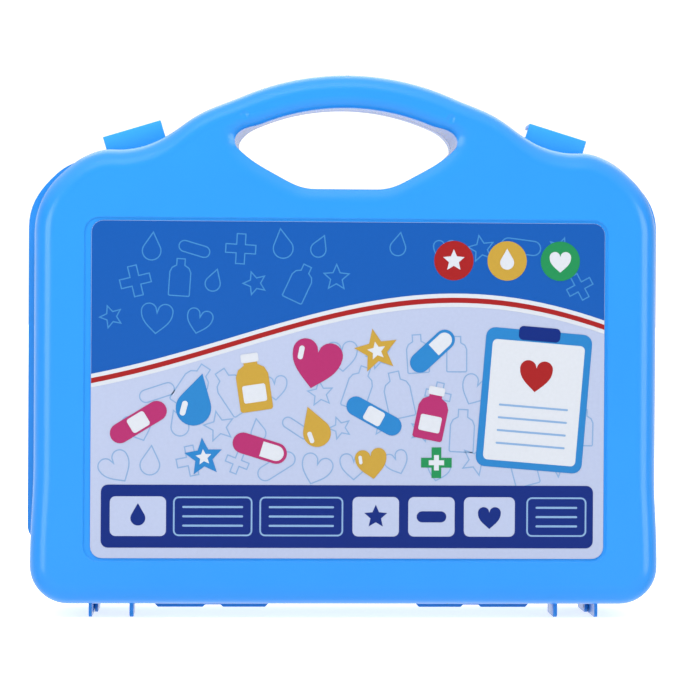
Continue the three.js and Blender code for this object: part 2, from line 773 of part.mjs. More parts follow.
// The bean-shaped dish, open towards the lid
function kidneyDish() {
  const bean = (inward, share) => {
    const points = Array.from({ length: 36 }, (_, i) => {
      const angle = (i / 36) * 2 * Math.PI;
      const x = (dish.length / 2) * share * Math.cos(angle);
      const y = (dish.width / 2) * share * Math.sin(angle);
      const bend = dish.bend * (Math.cos(angle) ** 2 - 0.5);
      return new THREE.Vector2(x, y + bend);
    });
    return grow(points, -inward);
  };
  const outside = loft([
    { outline: bean(0, dish.footShare), z: 0 },
    { outline: bean(0, 1), z: dish.depth },
  ]);
  const inside = loft([
    { outline: bean(dish.wall, dish.footShare), z: dish.wall },
    { outline: bean(dish.wall, 1), z: dish.depth },
    { outline: bean(dish.wall, 1), z: dish.depth + overrun },
  ]);
  return outside.subtract(inside);
}

function tweezersBody() {
  const { length, thickness, spread, arm, bridge } = tweezers;
  const half = length / 2;
  const outer = arm + spread;
  const side = (s) => polygon(
    [-half, 0], [-half, s * outer], [-half + bridge, s * outer],
    [half, s * arm * 2], [half, s * arm], [-half + bridge, s * spread], [-half + bridge, 0]);
  return prism(side(1), 0, thickness).add(prism(side(-1), 0, thickness));
}

function otoscopeHandle() {
  const { length, radius, headRadius, headLength } = otoscope;
  const end = length + headLength;
  return laid(revolve(
    [[0, 0], [radius - radius / 3, 0], [radius, radius / 3], [radius, length - radius],
      [headRadius, length], [headRadius, end], [0, end]], 20), headRadius);
}

function otoscopeCone() {
  const { length, headLength, coneLength, coneRadius, tipRadius, boreRadius } = otoscope;
  const start = length + headLength + gap;
  return laid(revolve(
    [[boreRadius, start], [coneRadius, start], [coneRadius, start + coneLength / 8],
      [tipRadius, start + coneLength], [boreRadius, start + coneLength]], 20),
  otoscope.headRadius);
}

function nameBadge() {
  const { width, height, thickness, radius, border, recess } = badge;
  const card = prism(rectangle(width, height, radius), 0, thickness);
  const field = rectangle(width - 2 * border, height - 2 * border, radius / 2);
  return card.subtract(prism(field, thickness - recess, thickness + overrun));
}

// The room that each instrument needs in its pocket
const syringeLength = syringe.discThickness + syringe.standOff + syringe.length + syringe.nozzle;
const loopReach = scissors.loopRadius / 2 + scissors.loopRadius;
const scissorsLength = scissors.blade + scissors.handle + loopReach;
const scissorsHeight = 2 * (scissors.spread + loopReach);
const otoscopeLength = otoscope.length + otoscope.headLength + gap + otoscope.coneLength;
const stethoscopeLength = stethoscope.height + stethoscope.stem + 2 * stethoscope.discRadius
  + gap + stethoscope.earTipRadius;
const bowShare = Math.max(...stethoscope.armShares.map(([x]) => x));
const stethoscopeWidth = 2 * (bowShare * stethoscope.span + stethoscope.tubeRadius);

// The middle of each pocket as shares of the case's width and of the tray's height.
// x runs to the right as seen with the lid open, and y up from the underside of the body.
const placeShares = {
  syringe: [-0.222, 0.145],
  thermometer: [0.237, 0.099],
  tweezers: [0.237, 0.233],
  scissors: [-0.244, 0.401],
  hammer: [0.207, 0.442],
  dish: [-0.289, 0.698],
  badge: [-0.015, 0.698],
  otoscope: [-0.244, 0.918],
  stethoscope: [0.278, 0.785],
};

function place(name, { sink }, width, height) {
  const [across, up] = placeShares[name];
  return { x: across * caseWidth, y: up * trayTopHeight, sink, width, height };
}

const places = {
  syringe: place("syringe", syringe, syringeLength + syringe.travel, 2 * syringe.flangeHalf),
  thermometer: place("thermometer", thermometer, thermometer.length, thermometer.width),
  tweezers: place("tweezers", tweezers, tweezers.length, 2 * (tweezers.spread + tweezers.arm)),
  scissors: place("scissors", scissors, scissorsLength, scissorsHeight),
  hammer: place("hammer", hammer, hammer.length + hammer.headRadius, hammer.headLength),
  dish: place("dish", dish, dish.length, dish.width + dish.bend),
  badge: place("badge", badge, badge.width, badge.height),
  otoscope: place("otoscope", otoscope, otoscopeLength, 2 * otoscope.headRadius),
  stethoscope: place("stethoscope", stethoscope, stethoscopeLength, stethoscopeWidth),
};

// The formed tray: a deck with pockets sunk into it
function tray() {
  const inward = wall + draft + gap;
  const deck = prism(grow(body, -inward), -trayThickness, 0);
  const below = rectangle(
    caseWidth, trayTopHeight + overrun, overrun, 0, (trayTopHeight - overrun) / 2, 1);
  const plate = deck.intersect(prism(below, -halfDepth, halfDepth));
  const pocket = ({ x, y, sink, width, height }, outward) => {
    const ring = (narrow, z) => ({
      outline: rectangle(
        width + 2 * (pocketClearance + outward - narrow),
        height + 2 * (pocketClearance + outward - narrow),
        pocketRadius + outward - narrow,
        x,
        y,
      ),
      z,
    });
    const floor = -sink - gap - outward;
    const top = outward ? 0 : overrun;
    return loft([ring(pocketDraft, floor), ring(0, -outward / 2), ring(0, top)]);
  };
  const all = Object.values(places);
  const raised = join(plate, ...all.map((room) => pocket(room, trayThickness)));
  return cut(raised, ...all.map((room) => pocket(room, 0)));
}

// Puts a body into its pocket, its own middle at the pocket's middle.
const inPocket = (drawn, pocket, x = 0) =>
  moved(drawn, pocket.x + x, pocket.y, -pocket.sink);

const group = new THREE.Group();

const rear = new THREE.Group();
rear.position.z = bodyBottom;
rear.rotation.set(Math.PI / 2, 0, 0);
rear.add(piece("rear_shell", rearShell(), blue));
rear.add(piece("back_label", label(), paper, 0.25));

const front = new THREE.Group();
front.position.z = bodyBottom;
front.rotation.set(Math.PI / 2, 0, Math.PI, "ZXY");
front.add(piece("front_shell", frontShell(), blue));
for (const [name, side] of [["latch_left", 1], ["latch_right", -1]]) {
  const made = piece(name, latch(), blue);
  made.position.set(side * latchCentreHalf, valley.y + latchSeatRise, 0);
  made.rotation.z = -side * latchTilt;
  front.add(made);
}

const contents = new THREE.Group();
contents.position.set(0, -deckDepth, bodyBottom);
contents.rotation.copy(front.rotation);
contents.add(piece("tray", tray(), white, 0.3));

const syringeStart = places.syringe.width / 2 - syringe.length - syringe.nozzle;
contents.add(piece(
  "syringe_barrel", inPocket(syringeBarrel(), places.syringe, syringeStart), yellow));
contents.add(piece(
  "syringe_plunger", inPocket(syringePlunger(), places.syringe, syringeStart), pink));

const pivotX = scissorsLength / 2 - scissors.blade;
const lift = scissors.thickness + gap;
const upperHalf = scissorsHalf().mirror([0, 1, 0]).translate([0, 0, lift]);
contents.add(piece("scissors_lower", inPocket(scissorsHalf(), places.scissors, pivotX), deepBlue));
contents.add(piece("scissors_upper", inPocket(upperHalf, places.scissors, pivotX), deepBlue));
contents.add(piece("scissors_pivot", inPocket(scissorsPivot(), places.scissors, pivotX), yellow));

contents.add(piece("thermometer", inPocket(thermometerBody(), places.thermometer), pink));

const hammerStart = -places.hammer.width / 2;
contents.add(piece("hammer_handle", inPocket(hammerHandle(), places.hammer, hammerStart), yellow));
contents.add(piece("hammer_head", inPocket(hammerHead(), places.hammer, hammerStart), pink));

const headsetX = -places.stethoscope.width / 2 + stethoscope.earTipRadius + stethoscope.height;
const quarterTurn = (drawn) => turned(drawn, Math.PI / 2);
contents.add(piece("stethoscope_headset",
  inPocket(quarterTurn(stethoscopeHeadset()), places.stethoscope, headsetX), deepBlue));
contents.add(piece("stethoscope_chestpiece",
  inPocket(quarterTurn(stethoscopeChestpiece()), places.stethoscope, headsetX), yellow));

contents.add(piece("kidney_dish", inPocket(kidneyDish(), places.dish), pink));
contents.add(piece("tweezers", inPocket(tweezersBody(), places.tweezers), yellow));

const otoscopeStart = -otoscopeLength / 2;
contents.add(piece(
  "otoscope_handle", inPocket(otoscopeHandle(), places.otoscope, otoscopeStart), green));
contents.add(piece(
  "otoscope_cone", inPocket(otoscopeCone(), places.otoscope, otoscopeStart), white));
contents.add(piece("name_badge", inPocket(nameBadge(), places.badge), yellow));

group.add(rear, front, contents);

export default group;
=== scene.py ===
import json
import math
import random

import bmesh
import bpy
from mathutils import Matrix, Vector
from mathutils.geometry import tessellate_polygon

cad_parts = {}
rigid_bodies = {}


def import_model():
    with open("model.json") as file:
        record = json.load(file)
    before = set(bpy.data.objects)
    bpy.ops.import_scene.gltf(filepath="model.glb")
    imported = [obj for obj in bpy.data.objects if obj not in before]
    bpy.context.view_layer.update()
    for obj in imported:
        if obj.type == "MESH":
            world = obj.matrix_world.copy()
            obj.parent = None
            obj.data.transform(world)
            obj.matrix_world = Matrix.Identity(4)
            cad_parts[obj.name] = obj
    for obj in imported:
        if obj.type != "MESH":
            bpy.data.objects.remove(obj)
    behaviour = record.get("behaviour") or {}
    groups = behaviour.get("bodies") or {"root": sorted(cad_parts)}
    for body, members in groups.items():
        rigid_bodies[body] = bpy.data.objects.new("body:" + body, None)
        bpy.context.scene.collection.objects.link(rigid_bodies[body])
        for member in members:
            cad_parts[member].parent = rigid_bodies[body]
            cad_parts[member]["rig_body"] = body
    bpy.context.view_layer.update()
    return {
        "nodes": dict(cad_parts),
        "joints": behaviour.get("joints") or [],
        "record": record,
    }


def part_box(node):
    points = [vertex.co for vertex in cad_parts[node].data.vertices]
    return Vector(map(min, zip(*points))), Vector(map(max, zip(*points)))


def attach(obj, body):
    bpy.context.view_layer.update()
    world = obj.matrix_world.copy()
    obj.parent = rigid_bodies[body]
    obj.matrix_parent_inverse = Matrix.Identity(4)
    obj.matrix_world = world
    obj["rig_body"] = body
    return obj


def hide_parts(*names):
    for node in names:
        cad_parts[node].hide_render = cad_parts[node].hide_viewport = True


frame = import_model()

MM = 0.001
SEED = 7


def box(node):
    """Lowest and highest corner of a node of the part, in millimetres."""
    low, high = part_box(node)
    return low / MM, high / MM


# Sizes of the part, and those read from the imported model
WALL = 2.0
GAP = 0.3
DRAFT = 0.6
SEAM = GAP / 2
HINGE_DROP = 3.1
EAR_RADIUS = 2.7
UNDERSIDE = HINGE_DROP + EAR_RADIUS
HALF_WIDTH = box("rear_shell")[1].x
HALF_DEPTH = -box("rear_shell")[0].y
CASE_HEIGHT = box("rear_shell")[1].z - UNDERSIDE

EDGE_RADIUS = 9.0
GRIP_EDGE_RADIUS = 6.8
BOTTOM_CORNER_RADIUS = 17.0
TOP_CORNER_RADIUS = 34.5
TOP_CORNER_SWEEP = math.radians(68)
VALLEY = Vector((HALF_WIDTH - 36, CASE_HEIGHT - 32.7))
VALLEY_TILT = math.radians(2)
CORNER_HEIGHT = VALLEY.y - 36.5
# Two forms that the solids lack: fuller shoulders, and sides that lean out at the foot
SHOULDER_BULGE = 1.35
SHOULDER_BULGE_AT, SHOULDER_BULGE_HALF = HALF_WIDTH - 24.5, 14.0
FOOT_FLARE, FOOT_FLARE_LOW, FOOT_FLARE_HIGH = 1.5, 20.0, 60.0

GRIP_ROOT = Vector((HALF_WIDTH - 65, CASE_HEIGHT - 21.2))
GRIP_ROOT_TILT = math.radians(37)
GRIP_ARC_RADIUS = 114.0
GRIP_ARC_HALF = 45.3
BLEND_SHARE = 0.38

GRIP_THICKNESS = 13.7
HOLE_ARC_RADIUS = 96.0
HOLE_ARC_HALF = 36.0
HOLE_HALF_WIDTH = 46.7
HOLE_END_HEIGHT = CASE_HEIGHT - 30
HOLE_END_RADIUS = 4.5
HOLE_END_TOP = math.radians(35)
HOLE_END_BOTTOM = math.radians(-45)
HOLE_BEND = Vector((28.0, CASE_HEIGHT - 45.1))
HOLE_BEND_TILT = math.radians(29)
HOLE_BOTTOM_HEIGHT = CASE_HEIGHT - 49.9
HOLE_FLAT_HALF = 13.0
ROLL_WIDTH, INNER_ROLL_WIDTH = 5.2, 3.4
ROLL_DEPTH = 4.5
ROLL_RISE = 5.0
SLOPE_WIDTH, SLOPE_DEPTH = 8.4, 1.5
SLOPE_CURVE = 2.3
SLOPE_LIP, SLOPE_LIP_SHARE = 0.4, 0.2
LID_HOLE_DRAFT = 2.0
# How the hole's outline on the labelled face differs from its outline at the seam
FACE_HOLE_SHIFT = -0.7
FACE_HOLE_WIDER = 1.2
FACE_HOLE_END_RISE = 0.5
FACE_GRIP_THICKER = 1.2

# The lip that closes the seam to light
LIP_ROOT_DEPTH, LIP_STEP_DEPTH = 2.5, 0.6
LIP_REACH = 1.0
LIP_THICKNESS = 0.5
LIP_CLEARANCE = 0.2

LABEL_LOW, LABEL_HIGH = box("back_label")
LABEL_WIDTH = LABEL_HIGH.x - LABEL_LOW.x
LABEL_HEIGHT = LABEL_HIGH.z - LABEL_LOW.z
LABEL_CENTRE = (LABEL_HIGH.z + LABEL_LOW.z) / 2 - UNDERSIDE
LABEL_RADIUS = 5.0
RECESS_DEPTH = 0.8
RECESS_MARGIN = 1.0
RECESS_SLOPE = 0.5

RIM_REACH = box("front_shell")[1].x - HALF_WIDTH
RIM_THICKNESS = 2.0
RIM_EDGE = 0.4
RIM_LOW_HEIGHT = 26.6
RIM_END_LENGTH = 6.0
RIM_TAPER_RISE = 3.0
RIM_MID_REACH = 2.9
RIM_MID_ANGLE = math.radians(45)
RIM_MID_TURN = math.radians(47)
RIM_END_REACH = 1.3
RIM_END_ANGLE = math.radians(70)
RIM_END_TURN = math.radians(73)
FOOT_REACH = 3.6
FOOT_INNER_HALF = 30.5
FOOT_OUTER_HALF = 85.0
FOOT_NOTCH = (52.7, 61.6, 1.0)

EAR_DEPTH = 20.0
EAR_CORNER_RADIUS = 2.0
EAR_OUTER_HALF = HALF_WIDTH - 24.3
EAR_THICKNESS = 1.4
INNER_EAR_HALF = HALF_WIDTH - 41.9
INNER_EAR_THICKNESS = 1.8
HINGE_PIN_RADIUS = 1.25

LATCH_LENGTH = 26.3
LATCH_SEAT = VALLEY + Vector((-7.4, 3))
LATCH_TILT = math.radians(17)
LATCH_SEAT_DEPTH = 3.4
LATCH_HEIGHT = 7.0
LATCH_THICKNESS = 1.8
LATCH_FOOT_HEIGHT = 1.3
LATCH_REACH = 8.5
LATCH_EDGE = 0.35
LATCH_OVERLAP = 1.0
LATCH_BEAD = 0.7
LATCH_PIVOT = Vector((9.0, 3.4))
LATCH_BARREL_RADIUS = 2.4
LATCH_BARREL_HALF = 7.0
LUG_RADIUS = 2.2
LUG_THICKNESS = 2.2
LATCH_PIN_RADIUS = 1.25
CATCH_DEPTH = 5.0
CATCH_WIDTH = 1.2

DECK_DEPTH = 4.0
TRAY_THICKNESS = 0.9
TRAY_TOP_HEIGHT = CASE_HEIGHT - 57.6
TRAY_CORNER_RADIUS, TRAY_CORNER_MARGIN = 2.0, 2.5
POCKET_DRAFT = 0.8
POCKET_RADIUS = 3.0
POCKET_CLEARANCE = 1.5
POCKET_LIP = 1.2
POCKET_FOOT = 1.6
LEDGE_REACH = 5.0
LEDGE_THICKNESS = 2.0
SIDE_LEDGE_SHARES = (0.2, 0.78)
LOW_LEDGE_SHARES = (-0.3, -0.07, 0.07, 0.3)

# How finely round forms are drawn, and the small softening of moulded edges
ROUND_STEPS = 9
HOLD = 0.2
SEAM_BEVEL = 0.25
EDGE_BEVEL = 0.3
SHARP_ANGLE = math.radians(38)
QUARTER = math.pi / 2

# A half's own frame in the case's frame: the labelled half faces -Y and the lid faces +Y.
LABELLED_HALF = Matrix(((1, 0, 0, 0), (0, 0, -1, 0), (0, 1, 0, UNDERSIDE), (0, 0, 0, 1)))
LID_HALF = Matrix(((-1, 0, 0, 0), (0, 0, 1, 0), (0, 1, 0, UNDERSIDE), (0, 0, 0, 1)))


def spread(start, end, steps):
    return [start + (end - start) * i / steps for i in range(steps + 1)]


def smoothstep(value, low, high):
    share = min(max((value - low) / (high - low), 0), 1)
    return share * share * (3 - 2 * share)


def towards(angle):
    return Vector((math.cos(angle), math.sin(angle)))


def arc(x, y, radius, start, end, steps=ROUND_STEPS):
    return [Vector((x, y)) + radius * towards(angle) for angle in spread(start, end, steps)]


def blend(start, start_angle, end, end_angle, steps=ROUND_STEPS):
    """A curve that leaves one point and arrives at another in the given directions."""
    reach = BLEND_SHARE * (end - start).length
    knots = [start, start + reach * towards(start_angle), end - reach * towards(end_angle), end]
    curve = []
    for share in spread(0, 1, steps):
        points = knots
        while len(points) > 1:
            points = [a.lerp(b, share) for a, b in zip(points, points[1:])]
        curve.append(points[0])
    return curve


def tidy(points):
    """The points without those that repeat their neighbour."""
    return [p for i, p in enumerate(points) if (p - points[i - 1]).length > MM]


def mirrored(right):
    return tidy(right + [Vector((-p.x, p.y)) for p in reversed(right)])


def grow(outline, reach):
    """A counterclockwise outline moved out, by one distance or by one for each point."""
    grown = []
    for i, point in enumerate(outline):
        before = (point - outline[i - 1]).normalized()
        after = (outline[(i + 1) % len(outline)] - point).normalized()
        before, after = Vector((before.y, -before.x)), Vector((after.y, -after.x))
        middle = (before + after).normalized()
        distance = reach[i] if isinstance(reach, list) else reach
        grown.append(point + middle * (distance / middle.dot(before)))
    return grown


def rectangle(width, height, radius, x=0.0, y=0.0, steps=5):
    right, top = width / 2 - radius, height / 2 - radius
    corners = [(right, -top), (right, top), (-right, top), (-right, -top)]
    outline = []
    for i, (across, up) in enumerate(corners):
        outline += arc(x + across, y + up, radius, (i - 1) * QUARTER, i * QUARTER, steps)
    return tidy(outline)


def circle(radius, x=0.0, y=0.0, sides=32):
    return arc(x, y, radius, 0, 2 * math.pi, sides)[:-1]


def polygon(*corners):
    return [Vector(corner) for corner in corners]


def flare(height):
    """How far the sides lean out towards the foot."""
    return FOOT_FLARE * (1 - smoothstep(height, FOOT_FLARE_LOW, FOOT_FLARE_HIGH))


def shoulder_bulge(point):
    """How far the outline of the body swells out over the shoulder."""
    away = abs(abs(point.x) - SHOULDER_BULGE_AT)
    above = smoothstep(point.y, CORNER_HEIGHT, CORNER_HEIGHT + TOP_CORNER_RADIUS / 2)
    return SHOULDER_BULGE * above * (1 - smoothstep(away, 0, SHOULDER_BULGE_HALF))


def body_outline():
    low = HALF_WIDTH - BOTTOM_CORNER_RADIUS
    right = arc(low, BOTTOM_CORNER_RADIUS, BOTTOM_CORNER_RADIUS, -QUARTER, 0, 12)
    right += [Vector((HALF_WIDTH, y)) for y in spread(FOOT_FLARE_LOW, FOOT_FLARE_HIGH, 6)]
    corner = arc(
        HALF_WIDTH - TOP_CORNER_RADIUS, CORNER_HEIGHT, TOP_CORNER_RADIUS, 0, TOP_CORNER_SWEEP, 16)
    tilt = math.asin(GRIP_ARC_HALF / GRIP_ARC_RADIUS)
    centre = CASE_HEIGHT - GRIP_ARC_RADIUS
    start = Vector((GRIP_ARC_HALF, centre + GRIP_ARC_RADIUS * math.cos(tilt)))
    right += corner
    right += blend(corner[-1], QUARTER + TOP_CORNER_SWEEP, VALLEY, math.pi - VALLEY_TILT)
    right += blend(VALLEY, math.pi - VALLEY_TILT, GRIP_ROOT, math.pi - GRIP_ROOT_TILT, 14)
    right += blend(GRIP_ROOT, math.pi - GRIP_ROOT_TILT, start, math.pi - tilt)
    right += arc(0, centre, GRIP_ARC_RADIUS, QUARTER - tilt, QUARTER, 14)
    outline = [
        Vector((point.x * (1 + flare(point.y) / HALF_WIDTH), point.y))
        for point in mirrored(right)]
    return grow(outline, [shoulder_bulge(point) for point in outline])


def hole_outline(wider=0.0, end_rise=0.0, thicker=0.0):
    """The hand hole at the seam, or one that is wider, ends higher and leaves a thicker grip."""
    end_x = HOLE_HALF_WIDTH + wider - HOLE_END_RADIUS
    flat_end = Vector((HOLE_FLAT_HALF, HOLE_BOTTOM_HEIGHT))
    end = arc(
        end_x, HOLE_END_HEIGHT + end_rise, HOLE_END_RADIUS, HOLE_END_BOTTOM, HOLE_END_TOP, 8)
    tilt = math.asin(HOLE_ARC_HALF / HOLE_ARC_RADIUS)
    centre = CASE_HEIGHT - GRIP_THICKNESS - thicker - HOLE_ARC_RADIUS
    start = Vector((HOLE_ARC_HALF, centre + HOLE_ARC_RADIUS * math.cos(tilt)))
    right = blend(flat_end, 0, HOLE_BEND, HOLE_BEND_TILT)
    right += blend(HOLE_BEND, HOLE_BEND_TILT, end[0], HOLE_END_BOTTOM + QUARTER)
    right += end
    right += blend(end[-1], HOLE_END_TOP + QUARTER, start, math.pi - tilt)
    right += arc(0, centre, HOLE_ARC_RADIUS, QUARTER - tilt, QUARTER, 14)
    return mirrored(right)


BODY = body_outline()
HOLE = hole_outline()
FACE_HOLE = [
    Vector((point.x + FACE_HOLE_SHIFT, point.y))
    for point in hole_outline(FACE_HOLE_WIDER, FACE_HOLE_END_RISE, FACE_GRIP_THICKER)]


# Closed skins from rings of vertices, each ring an outline at one height or at one for each point

def ring(bm, outline, heights):
    if not isinstance(heights, list):
        heights = [heights] * len(outline)
    return [bm.verts.new((p.x, p.y, z)) for p, z in zip(outline, heights)]


def bridge(bm, rings):
    for low, high in zip(rings, rings[1:]):
        for i in range(len(low)):
            bm.faces.new((low[i - 1], low[i], high[i], high[i - 1]))


def fill(bm, *rings):
    """Closes a ring, or the room between an outer ring and the others."""
    if len(rings) == 1:
        bm.faces.new(rings[0])
        return
    corners = [vert for loop in rings for vert in loop]
    for triangle in tessellate_polygon([[vert.co for vert in loop] for loop in rings]):
        bm.faces.new([corners[i] for i in triangle])


def round_edges(bm, width, segments=3):
    bmesh.ops.recalc_face_normals(bm, faces=bm.faces)
    sharp = [edge for edge in bm.edges if edge.calc_face_angle(0) > SHARP_ANGLE]
    bmesh.ops.bevel(
        bm, geom=sharp, offset=width, segments=segments, profile=0.5, affect="EDGES",
        clamp_overlap=True)
    return bm


def slab(outline, low, high, bevel=EDGE_BEVEL, openings=()):
    """A closed plate of one outline between two heights, with its edges softened."""
    bm = bmesh.new()
    levels = [[ring(bm, loop, z) for loop in (outline, *openings)] for z in (low, high)]
    for lower, upper in zip(*levels):
        bridge(bm, [lower, upper])
    for level in levels:
        fill(bm, *level)
    return round_edges(bm, bevel) if bevel else bm


def along_x(outline, low, high, bevel=EDGE_BEVEL, openings=()):
    """A plate drawn in z and y that runs along x."""
    bm = slab(outline, low, high, bevel, openings)
    bm.transform(Matrix(((0, 0, 1, 0), (0, 1, 0, 0), (1, 0, 0, 0), (0, 0, 0, 1))))
    return bm


def both_sides(make):
    """What a function draws on the right, there and mirrored on the left."""
    left = make()
    left.transform(Matrix.Diagonal((-1, 1, 1, 1)))
    return [make(), left]


def piece(name, parts, turn, body, slot, material, *nodes):
    """Joins parts into one moulding that rides on a body and stands for nodes of the part."""
    mesh = bpy.data.meshes.new(name)
    whole = bmesh.new()
    for part in parts:
        part.to_mesh(mesh)
        part.free()
        whole.from_mesh(mesh)
    whole.transform(Matrix.Diagonal((MM, MM, MM, 1)) @ turn)
    bmesh.ops.recalc_face_normals(whole, faces=whole.faces)
    whole.to_mesh(mesh)
    whole.free()
    mesh.shade_smooth()
    mesh.set_sharp_from_angle(angle=SHARP_ANGLE)
    mesh.materials.append(material)
    made = bpy.data.objects.new(name, mesh)
    bpy.context.scene.collection.objects.link(made)
    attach(made, body)
    if nodes:
        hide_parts(*nodes)
    return made


# Materials

def linear(code):
    """A colour given as sRGB hex, as linear red, green, blue and alpha."""
    levels = [int(code[i:i + 2], 16) / 255 for i in (1, 3, 5)]
    return [v / 12.92 if v < 0.04045 else ((v + 0.055) / 1.055) ** 2.4 for v in levels] + [1.0]


def shaded(code, share):
    """The colour with its light scaled by a share."""
    red, green, blue, alpha = linear(code)
    return [red * share, green * share, blue * share, alpha]


def add_node(tree, kind, links=None, **settings):
    """Adds a node; each entry of links is an output or a value for that socket."""
    made = tree.nodes.new(kind)
    for name, value in settings.items():
        setattr(made, name, value)
    for name, value in (links or {}).items():
        if isinstance(value, bpy.types.NodeSocket):
            tree.links.new(value, made.inputs[name])
        else:
            made.inputs[name].default_value = value
    return made


def new_surface(name):
    material = bpy.data.materials.new(name)
    material.use_nodes = True
    material.node_tree.nodes.clear()
    return material, material.node_tree


def close_surface(tree, shader):
    add_node(tree, "ShaderNodeOutputMaterial", {"Surface": shader.outputs[0]})


FLOW_CLOUD_MM = 70.0
SCREEN_MM = 1.4
COCKLE_MM, COCKLE_DEPTH_MM = 26.0, 0.05


def moulded_plastic(name, colour, roughness, ior, wave_mm=24.0, wave_depth_mm=0.02,
                    grain_mm=0.9, grain_depth_mm=0.0001, marks=()):
    """Injection-moulded plastic. Its colour is nearly even, with faint flow clouds; the gloss
    shows the slight sink of the walls and the fine grain of the tool. marks are places in the
    case's frame, in millimetres, with a radius and a depth."""
    material, tree = new_surface(name)
    place = add_node(tree, "ShaderNodeTexCoord").outputs["Object"]
    clouds = add_node(tree, "ShaderNodeTexNoise", {
        "Vector": place, "Scale": 1 / (FLOW_CLOUD_MM * MM), "Detail": 3.0, "Distortion": 0.6})
    tint = add_node(tree, "ShaderNodeMix", {
        0: clouds.outputs[0], 6: shaded(colour, 0.95), 7: shaded(colour, 1.05)},
        data_type="RGBA")
    wave = add_node(tree, "ShaderNodeTexNoise", {
        "Vector": place, "Scale": 1 / (wave_mm * MM), "Detail": 1.0})
    grain = add_node(tree, "ShaderNodeTexNoise", {
        "Vector": place, "Scale": 1 / (grain_mm * MM), "Detail": 2.0})
    sheen = add_node(tree, "ShaderNodeMapRange", {
        "Value": grain.outputs[0], "From Min": 0.3, "From Max": 0.7,
        "To Min": roughness - 0.01, "To Max": roughness + 0.02})
    sink = add_node(tree, "ShaderNodeBump", {
        "Strength": 1.0, "Distance": wave_depth_mm * MM, "Height": wave.outputs[0]})
    normal = add_node(tree, "ShaderNodeBump", {
        "Strength": 1.0, "Distance": grain_depth_mm * MM, "Height": grain.outputs[0],
        "Normal": sink.outputs[0]})
    for centre, radius, depth in marks:
        away = add_node(tree, "ShaderNodeVectorMath", {
            0: place, 1: [c * MM for c in centre]}, operation="DISTANCE")
        dish = add_node(tree, "ShaderNodeMapRange", {
            "Value": away.outputs["Value"], "From Min": 0.0, "From Max": radius * MM},
            interpolation_type="SMOOTHSTEP")
        normal = add_node(tree, "ShaderNodeBump", {
            "Strength": 1.0, "Distance": depth * MM, "Height": dish.outputs[0],
            "Normal": normal.outputs[0]})
    shader = add_node(tree, "ShaderNodeBsdfPrincipled", {
        "Base Color": tint.outputs[2], "Roughness": sheen.outputs[0], "IOR": ior,
        "Specular IOR Level": 0.5, "Normal": normal.outputs[0]})
    close_surface(tree, shader)
    return material


def printed_paper(name, colour):
    """Offset print on coated paper under a gloss film. The ink lies a little unevenly, and the
    sheet has cockled slightly where its glue dried."""
    material, tree = new_surface(name)
    place = add_node(tree, "ShaderNodeTexCoord").outputs["Object"]
    screen = add_node(tree, "ShaderNodeTexNoise", {
        "Vector": place, "Scale": 1 / (SCREEN_MM * MM), "Detail": 2.0})
    tint = add_node(tree, "ShaderNodeMix", {
        0: screen.outputs[0], 6: shaded(colour, 0.96), 7: shaded(colour, 1.04)},
        data_type="RGBA")
    cockle = add_node(tree, "ShaderNodeTexNoise", {
        "Vector": place, "Scale": 1 / (COCKLE_MM * MM), "Detail": 1.0})
    normal = add_node(tree, "ShaderNodeBump", {
        "Strength": 1.0, "Distance": COCKLE_DEPTH_MM * MM, "Height": cockle.outputs[0]})
    shader = add_node(tree, "ShaderNodeBsdfPrincipled", {
        "Base Color": tint.outputs[2], "Roughness": 0.36, "IOR": 1.46,
        "Specular IOR Level": 0.35, "Coat Weight": 0.05,
        "Coat Roughness": 0.12, "Normal": normal.outputs[0]})
    close_surface(tree, shader)
    return material


POLYPROPYLENE_IOR = 1.49
POLYSTYRENE_IOR = 1.59
GRIP_MARK_HEIGHT = UNDERSIDE + CASE_HEIGHT - 18.4
GATE_HEIGHT = UNDERSIDE + CASE_HEIGHT - 2.0
# Two sink marks at the grip's ends and the mark of the gate at its top
GRIP_MARKS = (
    ((-44.6, 1 - HALF_DEPTH, GRIP_MARK_HEIGHT), 2.6, 0.7),
    ((44.2, 1 - HALF_DEPTH, GRIP_MARK_HEIGHT - 1), 2.6, 0.7),
    ((0.0, 4 - HALF_DEPTH, GATE_HEIGHT), 1.6, 0.5),
)
# The case's plastic gives soft-edged highlights. The latches' is duller, and its colour is painted
# paler than the case's as painted light where the shoulder shades them.
case_blue = moulded_plastic(
    "moulded_polypropylene_blue", "#227dcb", 0.24, POLYPROPYLENE_IOR, marks=GRIP_MARKS)
latch_blue_painted_paler = moulded_plastic(
    "moulded_polypropylene_latch_painted_paler", "#3095dd", 0.3, POLYPROPYLENE_IOR, wave_depth_mm=0.01)
# The tray is formed from thin sheet, which ripples more than a moulding. The toys are glossier.
tray_white = moulded_plastic(
    "formed_polystyrene_white", "#b6babc", 0.3, POLYSTYRENE_IOR, wave_mm=9, wave_depth_mm=0.05)
toy_colours = {
    "toy_yellow": "#bb900f",
    "toy_pink": "#a92a5e",
    "toy_blue": "#0f518d",
    "toy_green": "#1c7d45",
    "toy_white": "#b6babc",
}
toy_plastic = {
    slot: moulded_plastic("moulded_polystyrene_" + slot.split("_")[1], colour, 0.2,
                          POLYSTYRENE_IOR, wave_mm=8, wave_depth_mm=0.02)
    for slot, colour in toy_colours.items()
}


# The two halves of the case

def edge_radius(point):
    """The rounding of the outer edge, which gets tighter along the grip."""
    on_grip = smoothstep(point.y, VALLEY.y, GRIP_ROOT.y)
    return EDGE_RADIUS + (GRIP_EDGE_RADIUS - EDGE_RADIUS) * on_grip


